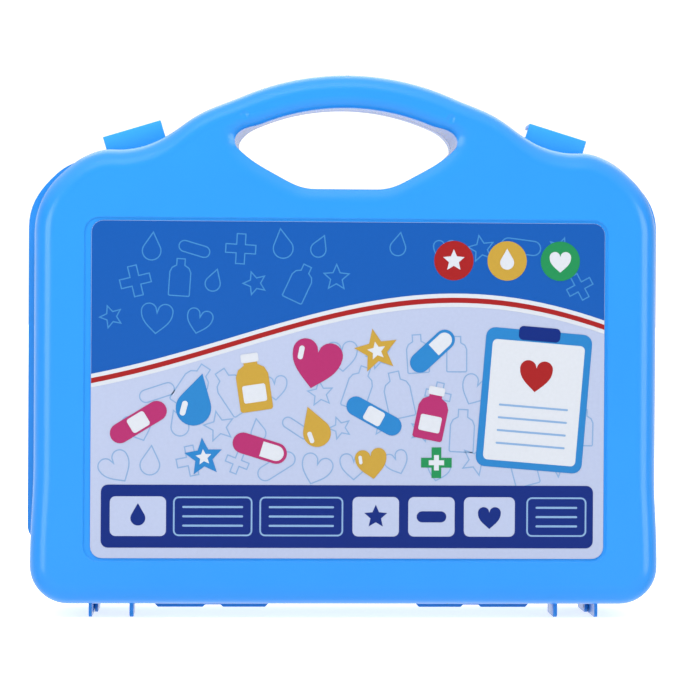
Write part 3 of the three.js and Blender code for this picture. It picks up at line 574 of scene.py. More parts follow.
def body_rings(bm, inward, steps):
    """Rings from the seam over the rounded edge to the flat of the face."""
    radii = [edge_radius(p) - inward for p in BODY]
    top = HALF_DEPTH - inward
    bevel = SEAM_BEVEL if inward else -SEAM_BEVEL
    rings = [
        ring(bm, grow(BODY, -inward + bevel), SEAM),
        ring(bm, grow(BODY, -inward), SEAM + SEAM_BEVEL),
        ring(bm, grow(BODY, -inward - DRAFT), [top - r - 2 * HOLD for r in radii]),
    ]
    for angle in spread(0, QUARTER, steps):
        outline = grow(BODY, [-inward - DRAFT - r * (1 - math.cos(angle)) for r in radii])
        rings.append(ring(bm, outline, [top - r + r * math.sin(angle) for r in radii]))
    rings.append(ring(bm, grow(BODY, [-inward - DRAFT - r - HOLD for r in radii]), top))
    bridge(bm, rings)
    return rings


def hole_profile(share, roll_width):
    """Width and depth of the hole's edge a share of the way from its wall to the face, where it
    is a roll and where it is a shallow slope with a crisp lip."""
    angle = (1 - share) * QUARTER
    roll = (roll_width * (1 - math.sin(angle)), ROLL_DEPTH * (1 - math.cos(angle)))
    if share < SLOPE_LIP_SHARE:
        lip = share / SLOPE_LIP_SHARE * QUARTER
        slope = (SLOPE_LIP * (1 - math.cos(lip)),
                 SLOPE_DEPTH + SLOPE_LIP * (1 - math.sin(lip)))
    else:
        along = (share - SLOPE_LIP_SHARE) / (1 - SLOPE_LIP_SHARE)
        slope = (SLOPE_LIP + (SLOPE_WIDTH - SLOPE_LIP) * along,
                 SLOPE_DEPTH * (1 - along) ** SLOPE_CURVE)
    return Vector(roll), Vector(slope)


def hole_rings(bm, face_hole, outward, draft, roll_width, steps):
    """Rings from the seam along the hand hole to the face, which rolls into the hole under the
    grip and slopes down to it elsewhere. On the way the hole takes its outline on the face and
    widens by its draft."""
    top = HALF_DEPTH - outward
    rolled = [smoothstep(p.y, HOLE_END_HEIGHT, HOLE_END_HEIGHT + ROLL_RISE) for p in HOLE]
    bevel = -SEAM_BEVEL if outward else SEAM_BEVEL
    rings = [
        ring(bm, grow(HOLE, outward + bevel), SEAM),
        ring(bm, grow(HOLE, outward), SEAM + SEAM_BEVEL),
        ring(bm, grow(face_hole, outward + draft), top - ROLL_DEPTH - 2 * HOLD),
    ]
    outward += draft
    for share in spread(0, 1, steps):
        roll, slope = hole_profile(share, roll_width)
        edge = [slope.lerp(roll, amount) for amount in rolled]
        rings.append(ring(
            bm, grow(face_hole, [outward + e.x for e in edge]), [top - e.y for e in edge]))
    last = [outward + HOLD + SLOPE_WIDTH + (roll_width - SLOPE_WIDTH) * r for r in rolled]
    rings.append(ring(bm, grow(face_hole, last), top))
    bridge(bm, rings)
    return rings


def recess_rings(bm):
    """The shallow recess for the label, from the face down its soft slope to its floor."""
    def outline(extra):
        reach = 2 * (RECESS_MARGIN + extra)
        return rectangle(
            LABEL_WIDTH + reach, LABEL_HEIGHT + reach, LABEL_RADIUS + RECESS_MARGIN + extra,
            0, LABEL_CENTRE)
    soft = RECESS_SLOPE / 4
    steps = [
        (RECESS_SLOPE + HOLD + soft, 0), (RECESS_SLOPE + soft, 0), (RECESS_SLOPE, soft),
        (0, RECESS_DEPTH - soft), (-soft, RECESS_DEPTH), (-soft - HOLD, RECESS_DEPTH)]
    rings = [ring(bm, outline(extra), HALF_DEPTH - down) for extra, down in steps]
    bridge(bm, rings)
    fill(bm, rings[-1])
    return rings


def plain_half(face_hole, draft):
    """A half's shell: outside and inside, with the hand hole and the recess."""
    bm = bmesh.new()
    outside = body_rings(bm, 0, ROUND_STEPS)
    inside = body_rings(bm, WALL, 5)
    hole_outside = hole_rings(bm, face_hole, 0, draft, ROLL_WIDTH, 10)
    hole_inside = hole_rings(bm, face_hole, WALL, draft, INNER_ROLL_WIDTH, 5)
    recess = recess_rings(bm)
    fill(bm, outside[-1], hole_outside[-1], recess[0])
    fill(bm, inside[-1], hole_inside[-1])
    bridge(bm, [outside[0], inside[0]])
    bridge(bm, [hole_outside[0], hole_inside[0]])
    return bm


def ear(inner, outer, eye=None):
    """A hinge ear: a plate under the body, with a round end at the hinge axis if it has an eye."""
    low = -HINGE_DROP - EAR_RADIUS
    front = arc(
        EAR_DEPTH - EAR_CORNER_RADIUS, low + EAR_CORNER_RADIUS, EAR_CORNER_RADIUS, -QUARTER, 0, 5)
    if eye is None:
        return along_x(
            [Vector((SEAM, WALL / 2)), Vector((SEAM, low)), *front, Vector((EAR_DEPTH, WALL / 2))],
            inner, outer)
    rounded = arc(0, -HINGE_DROP, EAR_RADIUS, QUARTER, 3 * QUARTER, 12)
    above = [Vector((SEAM, WALL / 2)), Vector((SEAM, EAR_RADIUS - HINGE_DROP))]
    outline = tidy([*above, *rounded, *front, Vector((EAR_DEPTH, WALL / 2))])
    openings = [circle(eye, 0, -HINGE_DROP, 20)] if eye else []
    return along_x(outline, inner, outer, 0 if eye else EDGE_BEVEL, openings)


def seam_lip(outline, side):
    """A thin lip along the inside of the seam. It stands on the labelled half and reaches into
    the lid, so that no light shows through. side is -1 in the body and 1 round the hand hole."""
    root = WALL - LIP_CLEARANCE / 2
    free = WALL + LIP_CLEARANCE
    inner = free + LIP_THICKNESS
    steps = [(root, LIP_ROOT_DEPTH), (root, LIP_STEP_DEPTH), (free, SEAM), (free, -LIP_REACH),
             (inner, -LIP_REACH), (inner, LIP_ROOT_DEPTH)]
    bm = bmesh.new()
    rings = [ring(bm, grow(outline, side * reach), depth) for reach, depth in steps]
    bridge(bm, [*rings, rings[0]])
    return bm


def on_shoulder(bm):
    """What is drawn along the latch's slanted line, put in its place on the shoulder."""
    bm.transform(Matrix.Translation((*LATCH_SEAT, 0)) @ Matrix.Rotation(-LATCH_TILT, 4, "Z"))
    return bm


def catch_ridge():
    """A ridge over the hollow of the shoulder, with a straight top that the latch hooks over."""
    turn = Matrix.Rotation(LATCH_TILT, 2)
    half = LATCH_LENGTH / 2
    seat = [turn @ (p - LATCH_SEAT) for p in grow(BODY, -WALL / 2)]
    low = [p for p in seat if abs(p.x) < half and abs(p.y) < 2 * LATCH_SEAT_DEPTH]
    top = LATCH_FOOT_HEIGHT - GAP
    outline = [*low, Vector((-half, low[-1].y)), Vector((-half, top)), Vector((half, top)),
               Vector((half, low[0].y))]
    return on_shoulder(slab(
        tidy(outline), CATCH_DEPTH - CATCH_WIDTH / 2, CATCH_DEPTH + CATCH_WIDTH / 2,
        EDGE_BEVEL / 2))


def tray_ledges():
    """Ribs in the labelled half that the tray's deck lies on, at its sides and its foot."""
    start = DECK_DEPTH + TRAY_THICKNESS + GAP
    depth = HALF_DEPTH - WALL / 2
    side_x = HALF_WIDTH - WALL / 2 - LEDGE_REACH / 2 - DRAFT
    ribs = []
    for share in SIDE_LEDGE_SHARES:
        lean = flare(share * TRAY_TOP_HEIGHT)
        ribs += [
            rectangle(LEDGE_REACH + lean, LEDGE_THICKNESS, LEDGE_THICKNESS / 4,
                      side * (side_x + lean / 2), share * TRAY_TOP_HEIGHT)
            for side in (-1, 1)]
    low_y = WALL / 2 + LEDGE_REACH / 2 + DRAFT
    ribs += [
        rectangle(LEDGE_THICKNESS, LEDGE_REACH, LEDGE_THICKNESS / 4,
                  share * 2 * HALF_WIDTH, low_y)
        for share in LOW_LEDGE_SHARES]
    return [slab(outline, start, depth - EDGE_RADIUS / 2, 0) for outline in ribs]


def labelled_shell():
    inner_face = EAR_OUTER_HALF - EAR_THICKNESS
    parts = [plain_half(FACE_HOLE, 0), *tray_ledges(), seam_lip(BODY, -1), seam_lip(HOLE, 1)]
    parts += both_sides(lambda: ear(inner_face, EAR_OUTER_HALF, HINGE_PIN_RADIUS + GAP))
    parts += both_sides(lambda: ear(INNER_EAR_HALF - INNER_EAR_THICKNESS, INNER_EAR_HALF))
    parts += both_sides(catch_ridge)
    return parts


def side_rim():
    """The lid's rim down one side. It runs out round the upper corner."""
    centre = Vector((HALF_WIDTH - TOP_CORNER_RADIUS, CORNER_HEIGHT))
    outer = HALF_WIDTH + RIM_REACH
    low = Vector((HALF_WIDTH, RIM_LOW_HEIGHT))
    taper = Vector((outer, CORNER_HEIGHT + RIM_TAPER_RISE))
    middle = centre + (TOP_CORNER_RADIUS + RIM_MID_REACH) * towards(RIM_MID_ANGLE)
    end = centre + (TOP_CORNER_RADIUS + RIM_END_REACH) * towards(RIM_END_ANGLE)
    outline = [
        *blend(low, 0, Vector((outer, RIM_LOW_HEIGHT + RIM_END_LENGTH)), QUARTER, 8),
        *blend(taper, QUARTER, middle, QUARTER + RIM_MID_TURN),
        *blend(middle, QUARTER + RIM_MID_TURN, end, QUARTER + RIM_END_TURN),
        *arc(*centre, TOP_CORNER_RADIUS - WALL / 4, TOP_CORNER_SWEEP, 0, 14),
        Vector((HALF_WIDTH - WALL / 2, FOOT_FLARE_HIGH)),
        Vector((HALF_WIDTH - WALL / 2 + flare(RIM_LOW_HEIGHT), RIM_LOW_HEIGHT)),
    ]
    return slab(tidy(outline), SEAM, SEAM + RIM_THICKNESS, RIM_EDGE)


def foot_rim():
    """The rim under the lid, with slanted ends and a shallow notch."""
    notch_inner, notch_outer, notch_depth = FOOT_NOTCH
    outline = polygon(
        (FOOT_INNER_HALF, WALL / 2), (FOOT_INNER_HALF, 0),
        (FOOT_INNER_HALF + FOOT_REACH, -FOOT_REACH), (notch_inner, -FOOT_REACH),
        (notch_inner + notch_depth, notch_depth - FOOT_REACH),
        (notch_outer - notch_depth, notch_depth - FOOT_REACH), (notch_outer, -FOOT_REACH),
        (FOOT_OUTER_HALF - FOOT_REACH, -FOOT_REACH), (FOOT_OUTER_HALF, 0),
        (FOOT_OUTER_HALF, WALL / 2))
    return slab(outline, SEAM, SEAM + RIM_THICKNESS)


def latch_lug(side):
    """An upright on the lid with an eye for the latch's pin."""
    arch = arc(*LATCH_PIVOT, LUG_RADIUS, 0, math.pi, 12)
    depth = LATCH_SEAT_DEPTH if side < 0 else WALL
    foot = polygon(
        (LATCH_PIVOT.x - LUG_RADIUS, -depth), (LATCH_PIVOT.x + LUG_RADIUS, -depth))
    eye = circle(LATCH_PIN_RADIUS + GAP, *LATCH_PIVOT, 20)
    start = side * (LATCH_BARREL_HALF + GAP)
    end = start + side * LUG_THICKNESS
    return on_shoulder(along_x(arch + foot, min(start, end), max(start, end), 0, [eye]))


def lid_shell():
    outer = EAR_OUTER_HALF - EAR_THICKNESS - GAP
    inner = outer - EAR_THICKNESS
    parts = [plain_half(HOLE, LID_HOLE_DRAFT)]
    parts += both_sides(lambda: ear(inner, outer, 0))
    parts += both_sides(
        lambda: along_x(circle(HINGE_PIN_RADIUS, 0, -HINGE_DROP, 24), inner, EAR_OUTER_HALF))
    for make in (side_rim, foot_rim, lambda: latch_lug(-1), lambda: latch_lug(1)):
        parts += both_sides(make)
    return parts


piece("labelled_half", labelled_shell(), LABELLED_HALF, "case_back", "case_blue", case_blue,
      "rear_shell")
piece("lid_half", lid_shell(), LID_HALF, "lid", "case_blue", case_blue, "front_shell")


# The latches, drawn along a slanted line over the shoulder: x along it, y out, z towards the lid

def over_shoulder(reach, half, depth):
    """The body's outline moved out, in the latch's own directions, from its right to its left."""
    turn = Matrix.Rotation(LATCH_TILT, 2)
    seat = [turn @ (p - LATCH_SEAT) for p in grow(BODY, reach)]
    return [p for p in seat if abs(p.x) < half and abs(p.y) < depth]


def latch_lip(side):
    """The front of the latch, whose lower edge follows the hollow of the shoulder."""
    half = LATCH_LENGTH / 2
    low = over_shoulder(GAP, half - GAP, 2 * LATCH_SEAT_DEPTH)
    foot = [Vector((-half, low[-1].y)), Vector((-half, LATCH_HEIGHT)),
            Vector((half, LATCH_HEIGHT)), Vector((half, low[0].y))]
    outline = [Vector((side * p.x, p.y)) for p in tidy([*low, *foot])]
    return slab(outline, -LATCH_REACH, LATCH_THICKNESS - LATCH_REACH, LATCH_EDGE)


def latch(side):
    """A flap with a hook at one end and a barrel with pins at the other."""
    far = -LATCH_REACH + LATCH_THICKNESS
    root = LATCH_PIVOT.x - LUG_RADIUS - 2 * GAP
    under = LATCH_HEIGHT - LATCH_THICKNESS
    flap = polygon(
        (root, under), (root, LATCH_HEIGHT), (far - GAP, LATCH_HEIGHT), (far - GAP, under))
    hook = polygon(
        (far - GAP, LATCH_HEIGHT - GAP), (far - GAP, LATCH_FOOT_HEIGHT),
        (far + LATCH_BEAD, LATCH_FOOT_HEIGHT), (far, LATCH_FOOT_HEIGHT + 2 * LATCH_BEAD),
        (far, LATCH_HEIGHT - GAP))
    arm = polygon(
        LATCH_PIVOT, (LATCH_PIVOT.x, LATCH_PIVOT.y + LATCH_BARREL_RADIUS),
        (LATCH_PIVOT.x - LATCH_BARREL_RADIUS / 2, LATCH_HEIGHT),
        (root - LATCH_OVERLAP, LATCH_HEIGHT), (root - LATCH_OVERLAP, under))
    half = LATCH_LENGTH / 2
    pin_half = LATCH_BARREL_HALF + GAP + LUG_THICKNESS
    return [
        latch_lip(side),
        along_x(flap, -half, half, LATCH_EDGE),
        along_x(hook, GAP - half, half - GAP, EDGE_BEVEL / 2),
        along_x(arm, -LATCH_BARREL_HALF, LATCH_BARREL_HALF, EDGE_BEVEL / 2),
        along_x(circle(LATCH_BARREL_RADIUS, *LATCH_PIVOT), -LATCH_BARREL_HALF, LATCH_BARREL_HALF),
        along_x(circle(LATCH_PIN_RADIUS, *LATCH_PIVOT, 20), -pin_half, pin_half),
    ]


# The clips take the latch plastic, whose colour is painted paler as painted light.
for latch_name, side in (("latch_left", 1), ("latch_right", -1)):
    seat = Matrix.Translation((side * LATCH_SEAT.x, LATCH_SEAT.y, 0))
    place = LID_HALF @ seat @ Matrix.Rotation(-side * LATCH_TILT, 4, "Z")
    piece(latch_name + "_clip", latch(side), place, latch_name, "case_blue", latch_blue_painted_paler,
          latch_name)


# The label: a printed sheet in the recess. Its inks are thin layers, each on the one before.

INK = 0.035
SHEET_EDGE = 0.02
SHEET_TOP = -LABEL_LOW.y
SHEET_TRIM = 1.6
SHEET_WIDTH = LABEL_WIDTH - SHEET_TRIM
SHEET = LABELLED_HALF @ Matrix.Translation((SHEET_TRIM / 2, LABEL_CENTRE, 0))
INK_COLOURS = {
    "blue_field": "#034791",
    "field_lines": "#3370a6",
    "white": "#aeb2b9",
    "red": "#861315",
    "navy": "#011e66",
    "pale_lines": "#6c8bae",
    "pink": "#902157",
    "yellow": "#9f802e",
    "sky": "#1b68a1",
    "green": "#167443",
}
inks = {name: printed_paper("offset_ink_" + name, code) for name, code in INK_COLOURS.items()}
sheet = printed_paper("coated_paper", "#959eb6")


def shape_at(outline, x, y, scale=1.0, angle=0.0):
    turn = Matrix.Rotation(angle, 2)
    return [Vector((x, y)) + scale * (turn @ p) for p in outline]


def drop_shape():
    centre, radius, tip = -1, 4, 7
    round_part = arc(0, centre, radius, math.radians(150), math.radians(390), 20)
    return [*round_part, Vector((0, tip))]


def heart_shape():
    tip, lobe, lobe_height, notch = Vector((0, -6.5)), 3.1, 2.2, Vector((0, 2.4))
    right = blend(tip, math.radians(42), Vector((2 * lobe, lobe_height)), QUARTER, 8)
    right += arc(lobe, lobe_height, lobe, 0, math.radians(150), 10)
    return mirrored(tidy([tip, *right, notch]))


def plus_shape():
    arm, half = 6.0, 1.9
    quarter = [Vector((arm, -half)), Vector((arm, half)), Vector((half, half))]
    outline = []
    for i in range(4):
        turn = Matrix.Rotation(i * QUARTER, 2)
        outline += [turn @ p for p in quarter]
    return outline


def bottle_shape():
    return mirrored(polygon(
        (0, -9), (4.6, -9), (5.2, -8.4), (5.2, 2.4), (4.2, 4.6), (2.2, 5.8), (2.2, 9), (0, 9)))


def star_shape():
    tip, notch, points = 6.5, 3.0, 5
    return [
        (notch if i % 2 else tip) * towards(QUARTER + i * math.pi / points)
        for i in range(2 * points)]


def pill_shape():
    length, width = 16, 6
    return rectangle(length, width, width / 2 - MM, steps=6)


def plaster_shape():
    length, width, radius = 20, 6.4, 3.19
    return rectangle(length, width, radius, steps=6)


def layer(name, level, outlines, material):
    """Ink in one colour; an outline may come with openings."""
    slabs = []
    for outline in outlines:
        outer, *openings = outline if isinstance(outline[0], list) else [outline]
        slabs.append(slab(
            outer, SHEET_TOP - INK, SHEET_TOP + level * INK, 0, openings))
    piece("label_" + name, slabs, SHEET, "case_back", "label_print", material)


def stroke(outline, width):
    """A line of a width along the inside of an outline."""
    return [outline, grow(outline, -width)]


def on_label(x_share, y_share):
    """A place on the label, as shares of its half width and half height."""
    return x_share * SHEET_WIDTH / 2, y_share * LABEL_HEIGHT / 2


FIELD_INSET = 0.1
BAND_HEIGHT = 27.0
BAND_INSET = 4.5
BAND_RADIUS = 3.0
BLOCK_HEIGHT = 17.0
BLOCK_RADIUS = 2.4
RULE_WIDTH, RULE_RADIUS = 0.9, 0.4
LINE_WIDTH, BLOCK_LINE_WIDTH = 0.5, 0.7
# How far the white and the red sweep reach below and above the line between the fields
WHITE_SWEEP = (-2.4, 3.4)
RED_SWEEP = (-0.6, 1.6)
SWEEP_STEPS = 40
# The scattered motifs: their grid, how far they stray from it and the room they keep
MOTIF_COLUMNS, MOTIF_ROWS = 12, 7
MOTIF_SIDE_SHARE, MOTIF_LOW_SHARE, MOTIF_RISE_SHARE = 0.91, -0.44, 1.3
MOTIF_STRAY, MOTIF_TURN = 2, 0.6
MOTIF_SCALES = (0.85, 1.15)
MOTIF_ROOM, MOTIF_MARGIN = 11, 10


def sweep_height(x):
    """Height of the line between the blue and the pale field, over the middle of the label."""
    share = x / (SHEET_WIDTH / 2)
    middle, swell, pace, start, fall = 0.18, 0.1, 1.9, 0.5, 0.06
    return LABEL_HEIGHT * (
        middle + swell * math.sin(pace * share + start) - fall * share * share)


def sweep(lower, upper):
    """A band along that line between two distances from it."""
    half = SHEET_WIDTH / 2 - FIELD_INSET
    xs = spread(-half, half, SWEEP_STEPS)
    low = [Vector((x, sweep_height(x) + lower)) for x in xs]
    return low + [Vector((x, sweep_height(x) + upper)) for x in reversed(xs)]


def blue_field():
    half = SHEET_WIDTH / 2 - FIELD_INSET
    top = LABEL_HEIGHT / 2 - FIELD_INSET
    radius = LABEL_RADIUS - FIELD_INSET
    low = [Vector((x, sweep_height(x))) for x in spread(-half, half, SWEEP_STEPS)]
    corners = arc(half - radius, top - radius, radius, 0, QUARTER, 6)
    corners += arc(radius - half, top - radius, radius, QUARTER, math.pi, 6)
    return tidy(low + corners)


def line_motifs(rng, below):
    """Outlined motifs scattered over one of the two fields, none of them over an edge."""
    shapes = [drop_shape, heart_shape, plus_shape, bottle_shape, pill_shape, star_shape]
    motifs = []
    for row in range(MOTIF_ROWS):
        for column in range(MOTIF_COLUMNS):
            across = (column + 0.5 * (row % 2)) / (MOTIF_COLUMNS - 0.5)
            x, y = on_label(
                -MOTIF_SIDE_SHARE + 2 * MOTIF_SIDE_SHARE * across,
                MOTIF_LOW_SHARE + MOTIF_RISE_SHARE * row / (MOTIF_ROWS - 1))
            x += rng.uniform(-MOTIF_STRAY, MOTIF_STRAY)
            y += rng.uniform(-MOTIF_STRAY, MOTIF_STRAY)
            scale, angle = rng.uniform(*MOTIF_SCALES), rng.uniform(-MOTIF_TURN, MOTIF_TURN)
            make = shapes[rng.randrange(len(shapes))]
            room = sweep_height(x) - y if below else y - sweep_height(x)
            if room > MOTIF_ROOM and abs(y) < LABEL_HEIGHT / 2 - MOTIF_MARGIN:
                motifs.append(stroke(shape_at(make(), x, y, scale, angle), LINE_WIDTH))
    return motifs


def pill_end():
    start, centre, radius = 0.5, 4.9, 2.2
    cap = arc(centre, 0, radius, -QUARTER, QUARTER, 10)
    return [Vector((start, -radius)), *cap, Vector((start, radius))]


def glint(x, y):
    width, height, radius = 1.3, 3.4, 0.64
    return rectangle(width, height, radius, x, y)


# Each motif's outline and the parts that are printed over it in white
MOTIF_SHAPES = {
    "bottle": (bottle_shape(), [rectangle(7.4, 5.6, 0.7, 0, -3.4), rectangle(5.6, 2.8, 0.6, 0, 8)]),
    "plaster": (plaster_shape(), [rectangle(6.2, 5.0, 0.9)]),
    "pill": (pill_shape(), [pill_end()]),
    "heart": (heart_shape(), [glint(-4.1, 1.6)]),
    "star": (star_shape(), [[0.42 * p for p in star_shape()]]),
    "drop": (drop_shape(), [glint(-2.1, -1.6)]),
    "plus": (plus_shape(), [[0.5 * p for p in plus_shape()]]),
}

# Kind, ink, place from the label's middle in millimetres, scale and turn in radians
MOTIFS = (
    ("plaster", "pink", -90, -14, 1.35, 0.55),
    ("drop", "sky", -66, -6, 1.9, -0.25),
    ("bottle", "yellow", -41, 3, 1.35, 0.15),
    ("heart", "pink", -14, 12, 1.75, -0.2),
    ("star", "yellow", 12, 17, 1.5, 0.2),
    ("pill", "sky", 36, 17, 1.45, 0.75),
    ("star", "sky", -62, -29, 1.3, 0.1),
    ("pill", "pink", -38, -25, 1.5, -0.3),
    ("drop", "yellow", -14, -17, 1.5, 0.35),
    ("plaster", "sky", 11, -11, 1.3, -0.5),
    ("bottle", "pink", 36, -10, 1.25, -0.2),
    ("heart", "yellow", 10, -31, 1.1, 0.15),
    ("plus", "green", 38, -31, 1.1, 0.0),
)
DISCS = (("star", "red", 45), ("drop", "yellow", 68), ("heart", "green", 91))
DISC_HEIGHT, DISC_RADIUS = 56.0, 8.5
DISC_MOTIF_SCALE, BLOCK_MOTIF_SCALE = 0.75, 0.8
CARD_X, CARD_Y = 80.0, -4.0
CARD_WIDTH, CARD_HEIGHT, CARD_RADIUS = 46.0, 60.0, 4.0
CARD_TURN = -0.08
PAGE_RADIUS, PAGE_DROP = 2.0, 1.0
PAGE_INSET_X, PAGE_INSET_Y = 3.0, 4.0
CLIP_WIDTH, CLIP_HEIGHT = 18.0, 6.0
CLIP_SHIFT, CLIP_DROP = 2.3, 1.5
CARD_RULES, CARD_RULE_INSET, CARD_RULE_TOP, CARD_RULE_STEP = 4, 8.0, -3.0, 5.5
CARD_HEART_SHIFT, CARD_HEART_RISE, CARD_HEART_SCALE = 0.8, 11.0, 1.15
BLOCK_RULES, BLOCK_RULE_INSET, BLOCK_RULE_STEP = 3, 4.0, 4.0
BLOCKS = (
    (-90, 24, "drop"), (-58, 34, None), (-20, 36, None), (12, 20, "star"), (36, 20, "pill"),
    (61, 22, "heart"), (90, 26, None))


def card_motif():
    """A pale card under a clip, with ruled lines and a heart."""
    def on_card(outline, x=0.0, y=0.0, scale=1.0):
        return shape_at(outline, CARD_X + x, CARD_Y + y, scale, CARD_TURN)
    board = on_card(rectangle(CARD_WIDTH, CARD_HEIGHT, CARD_RADIUS))
    page = on_card(
        rectangle(CARD_WIDTH - 2 * PAGE_INSET_X, CARD_HEIGHT - 2 * PAGE_INSET_Y, PAGE_RADIUS),
        0, -PAGE_DROP)
    clip = on_card(
        rectangle(CLIP_WIDTH, CLIP_HEIGHT, PAGE_RADIUS), CLIP_SHIFT, CARD_HEIGHT / 2 - CLIP_DROP)
    rules = [
        on_card(rectangle(CARD_WIDTH - 2 * CARD_RULE_INSET, RULE_WIDTH, RULE_RADIUS,
                          0, CARD_RULE_TOP - CARD_RULE_STEP * i))
        for i in range(CARD_RULES)]
    heart = on_card(heart_shape(), CARD_HEART_SHIFT, CARD_HEART_RISE, CARD_HEART_SCALE)
    layer("card_board", 5, [board], inks["sky"])
    layer("card_page", 6, [page], inks["white"])
    layer("card_lines", 7, rules, inks["pale_lines"])
    layer("card_clip", 7, [clip], inks["navy"])
    layer("card_heart", 7, [heart], inks["red"])


def coloured_motifs():
    over = []
    colours = {}
    for kind, ink, x, y, scale, angle in MOTIFS:
        outline, details = MOTIF_SHAPES[kind]
        colours.setdefault(ink, []).append(shape_at(outline, x, y, scale, angle))
        over += [shape_at(detail, x, y, scale, angle) for detail in details]
    for kind, ink, x in DISCS:
        colours.setdefault(ink, []).append(circle(DISC_RADIUS, x, DISC_HEIGHT, 40))
        over.append(shape_at(MOTIF_SHAPES[kind][0], x, DISC_HEIGHT, DISC_MOTIF_SCALE))
    for ink, outlines in colours.items():
        layer("motifs_" + ink, 5, outlines, inks[ink])
    layer("motif_details", 6, over, inks["white"])


def band_blocks(band_y):
    """Plain blocks on the band: some filled, some outlined, some with a motif."""
    filled, lines, motifs = [], [], []
    for x, width, kind in BLOCKS:
        block = rectangle(width, BLOCK_HEIGHT, BLOCK_RADIUS, x, band_y)
        if kind is None:
            lines.append(stroke(block, BLOCK_LINE_WIDTH))
            lines += [
                rectangle(width - 2 * BLOCK_RULE_INSET, RULE_WIDTH, RULE_RADIUS,
                          x, band_y + BLOCK_RULE_STEP - BLOCK_RULE_STEP * i)
                for i in range(BLOCK_RULES)]
        else:
            filled.append(block)
            motifs.append(shape_at(MOTIF_SHAPES[kind][0], x, band_y, BLOCK_MOTIF_SCALE))
    layer("band_blocks", 4, filled, sheet)
    layer("band_lines", 4, lines, inks["pale_lines"])
    layer("band_motifs", 5, motifs, inks["navy"])


def print_label():
    rng = random.Random(SEED)
    outline = rectangle(SHEET_WIDTH, LABEL_HEIGHT, LABEL_RADIUS)
    back = -LABEL_HIGH.y
    piece("label_sheet", [slab(outline, back, SHEET_TOP, SHEET_EDGE)], SHEET, "case_back",
          "label_print", sheet, "back_label")
    layer("blue_field", 1, [blue_field()], inks["blue_field"])
    layer("field_lines", 2, line_motifs(rng, False), inks["field_lines"])
    layer("pale_lines", 2, line_motifs(rng, True), inks["pale_lines"])
    layer("white_sweep", 3, [sweep(*WHITE_SWEEP)], inks["white"])
    layer("red_sweep", 4, [sweep(*RED_SWEEP)], inks["red"])
    band_y = -LABEL_HEIGHT / 2 + BAND_INSET + BAND_HEIGHT / 2
    band = rectangle(SHEET_WIDTH - 2 * BAND_INSET, BAND_HEIGHT, BAND_RADIUS, 0, band_y)
    layer("navy_band", 3, [band], inks["navy"])
    band_blocks(band_y)
    coloured_motifs()
    card_motif()


print_label()


# The tray: one thin skin with soft-edged pockets sunk into its deck

def pocket_rooms():
    """Each pocket's middle, size and depth, from the boxes of the toys that lie in it."""
    groups = [
        ["syringe_barrel", "syringe_plunger"], ["thermometer"], ["tweezers"],
        ["scissors_lower", "scissors_upper"], ["hammer_handle", "hammer_head"],
        ["kidney_dish"], ["name_badge"], ["otoscope_handle", "otoscope_cone"],
        ["stethoscope_headset", "stethoscope_chestpiece"]]
    travel = next(j for j in frame["joints"] if j["name"] == "plunger_slide")["range_m"][1] / MM
    rooms = []
    for nodes in groups:
        boxes = [box(node) for node in nodes]
        low = Vector([min(b[0][i] for b in boxes) for i in range(3)])
        high = Vector([max(b[1][i] for b in boxes) for i in range(3)])
        if "syringe_plunger" in nodes:
            high.x += travel
        middle = (low + high) / 2
        rooms.append({
            "x": -middle.x, "y": middle.z - UNDERSIDE, "width": high.x - low.x,
            "height": high.z - low.z, "sink": -low.y - DECK_DEPTH})
    return rooms


def tray_skin():
    """The deck and its pockets, as an upper and an under skin joined round the edge."""
    bm = bmesh.new()
    inward = WALL + DRAFT + GAP
    deck = [
        p for p in grow(BODY, -inward) if p.y < TRAY_TOP_HEIGHT - TRAY_CORNER_MARGIN]
    split = next(i for i, p in enumerate(deck) if p.x < 0 and p.y > TRAY_TOP_HEIGHT / 2)
    rise = TRAY_TOP_HEIGHT - CORNER_HEIGHT
    side = HALF_WIDTH - TOP_CORNER_RADIUS + math.sqrt(
        (TOP_CORNER_RADIUS - inward) ** 2 - rise ** 2)
    across, up = side - TRAY_CORNER_RADIUS, TRAY_TOP_HEIGHT - TRAY_CORNER_RADIUS
    corners = arc(across, up, TRAY_CORNER_RADIUS, 0, QUARTER, 5)
    corners += arc(-across, up, TRAY_CORNER_RADIUS, QUARTER, math.pi, 5)
    deck = tidy(deck[:split] + corners + deck[split:])
    for under in (0, TRAY_THICKNESS):
        lips = []
        for room in pocket_rooms():
            reach = POCKET_CLEARANCE + under
            def outline(narrow, room=room, reach=reach):
                return rectangle(
                    room["width"] + 2 * (reach - narrow), room["height"] + 2 * (reach - narrow),
                    POCKET_RADIUS + reach - POCKET_CLEARANCE - narrow + POCKET_LIP,
                    room["x"], room["y"])
            floor = -room["sink"] - GAP - under
            lip = min(POCKET_LIP, -floor / 3)
            foot = min(POCKET_FOOT, (-floor - under) / 3)
            rings = [ring(bm, outline(-lip * (1 - math.sin(a))), -under - lip * (1 - math.cos(a)))
                     for a in spread(0, QUARTER, 5)]
            rings += [
                ring(bm, outline(POCKET_DRAFT + foot * (1 - math.cos(a))),
                     floor + foot * (1 - math.sin(a)))
                for a in spread(0, QUARTER, 5)]
            bridge(bm, rings)
            fill(bm, rings[-1])
            lips.append(rings[0])
        edge = ring(bm, deck, -under)
        fill(bm, edge, *lips)
        if under:
            bridge(bm, [top_edge, edge])
        top_edge = edge
    return bm


TRAY = LID_HALF @ Matrix.Translation((0, 0, -DECK_DEPTH))
piece("formed_tray", [tray_skin()], TRAY, "case_back", "tray_white", tray_white, "tray")


# The toys keep the part's solids, with welded faces, softened edges and a glossy plastic.

TOY_BEVEL = 0.35
TOY_WELD = 0.01
TOY_FLAT_ANGLE = math.radians(1)


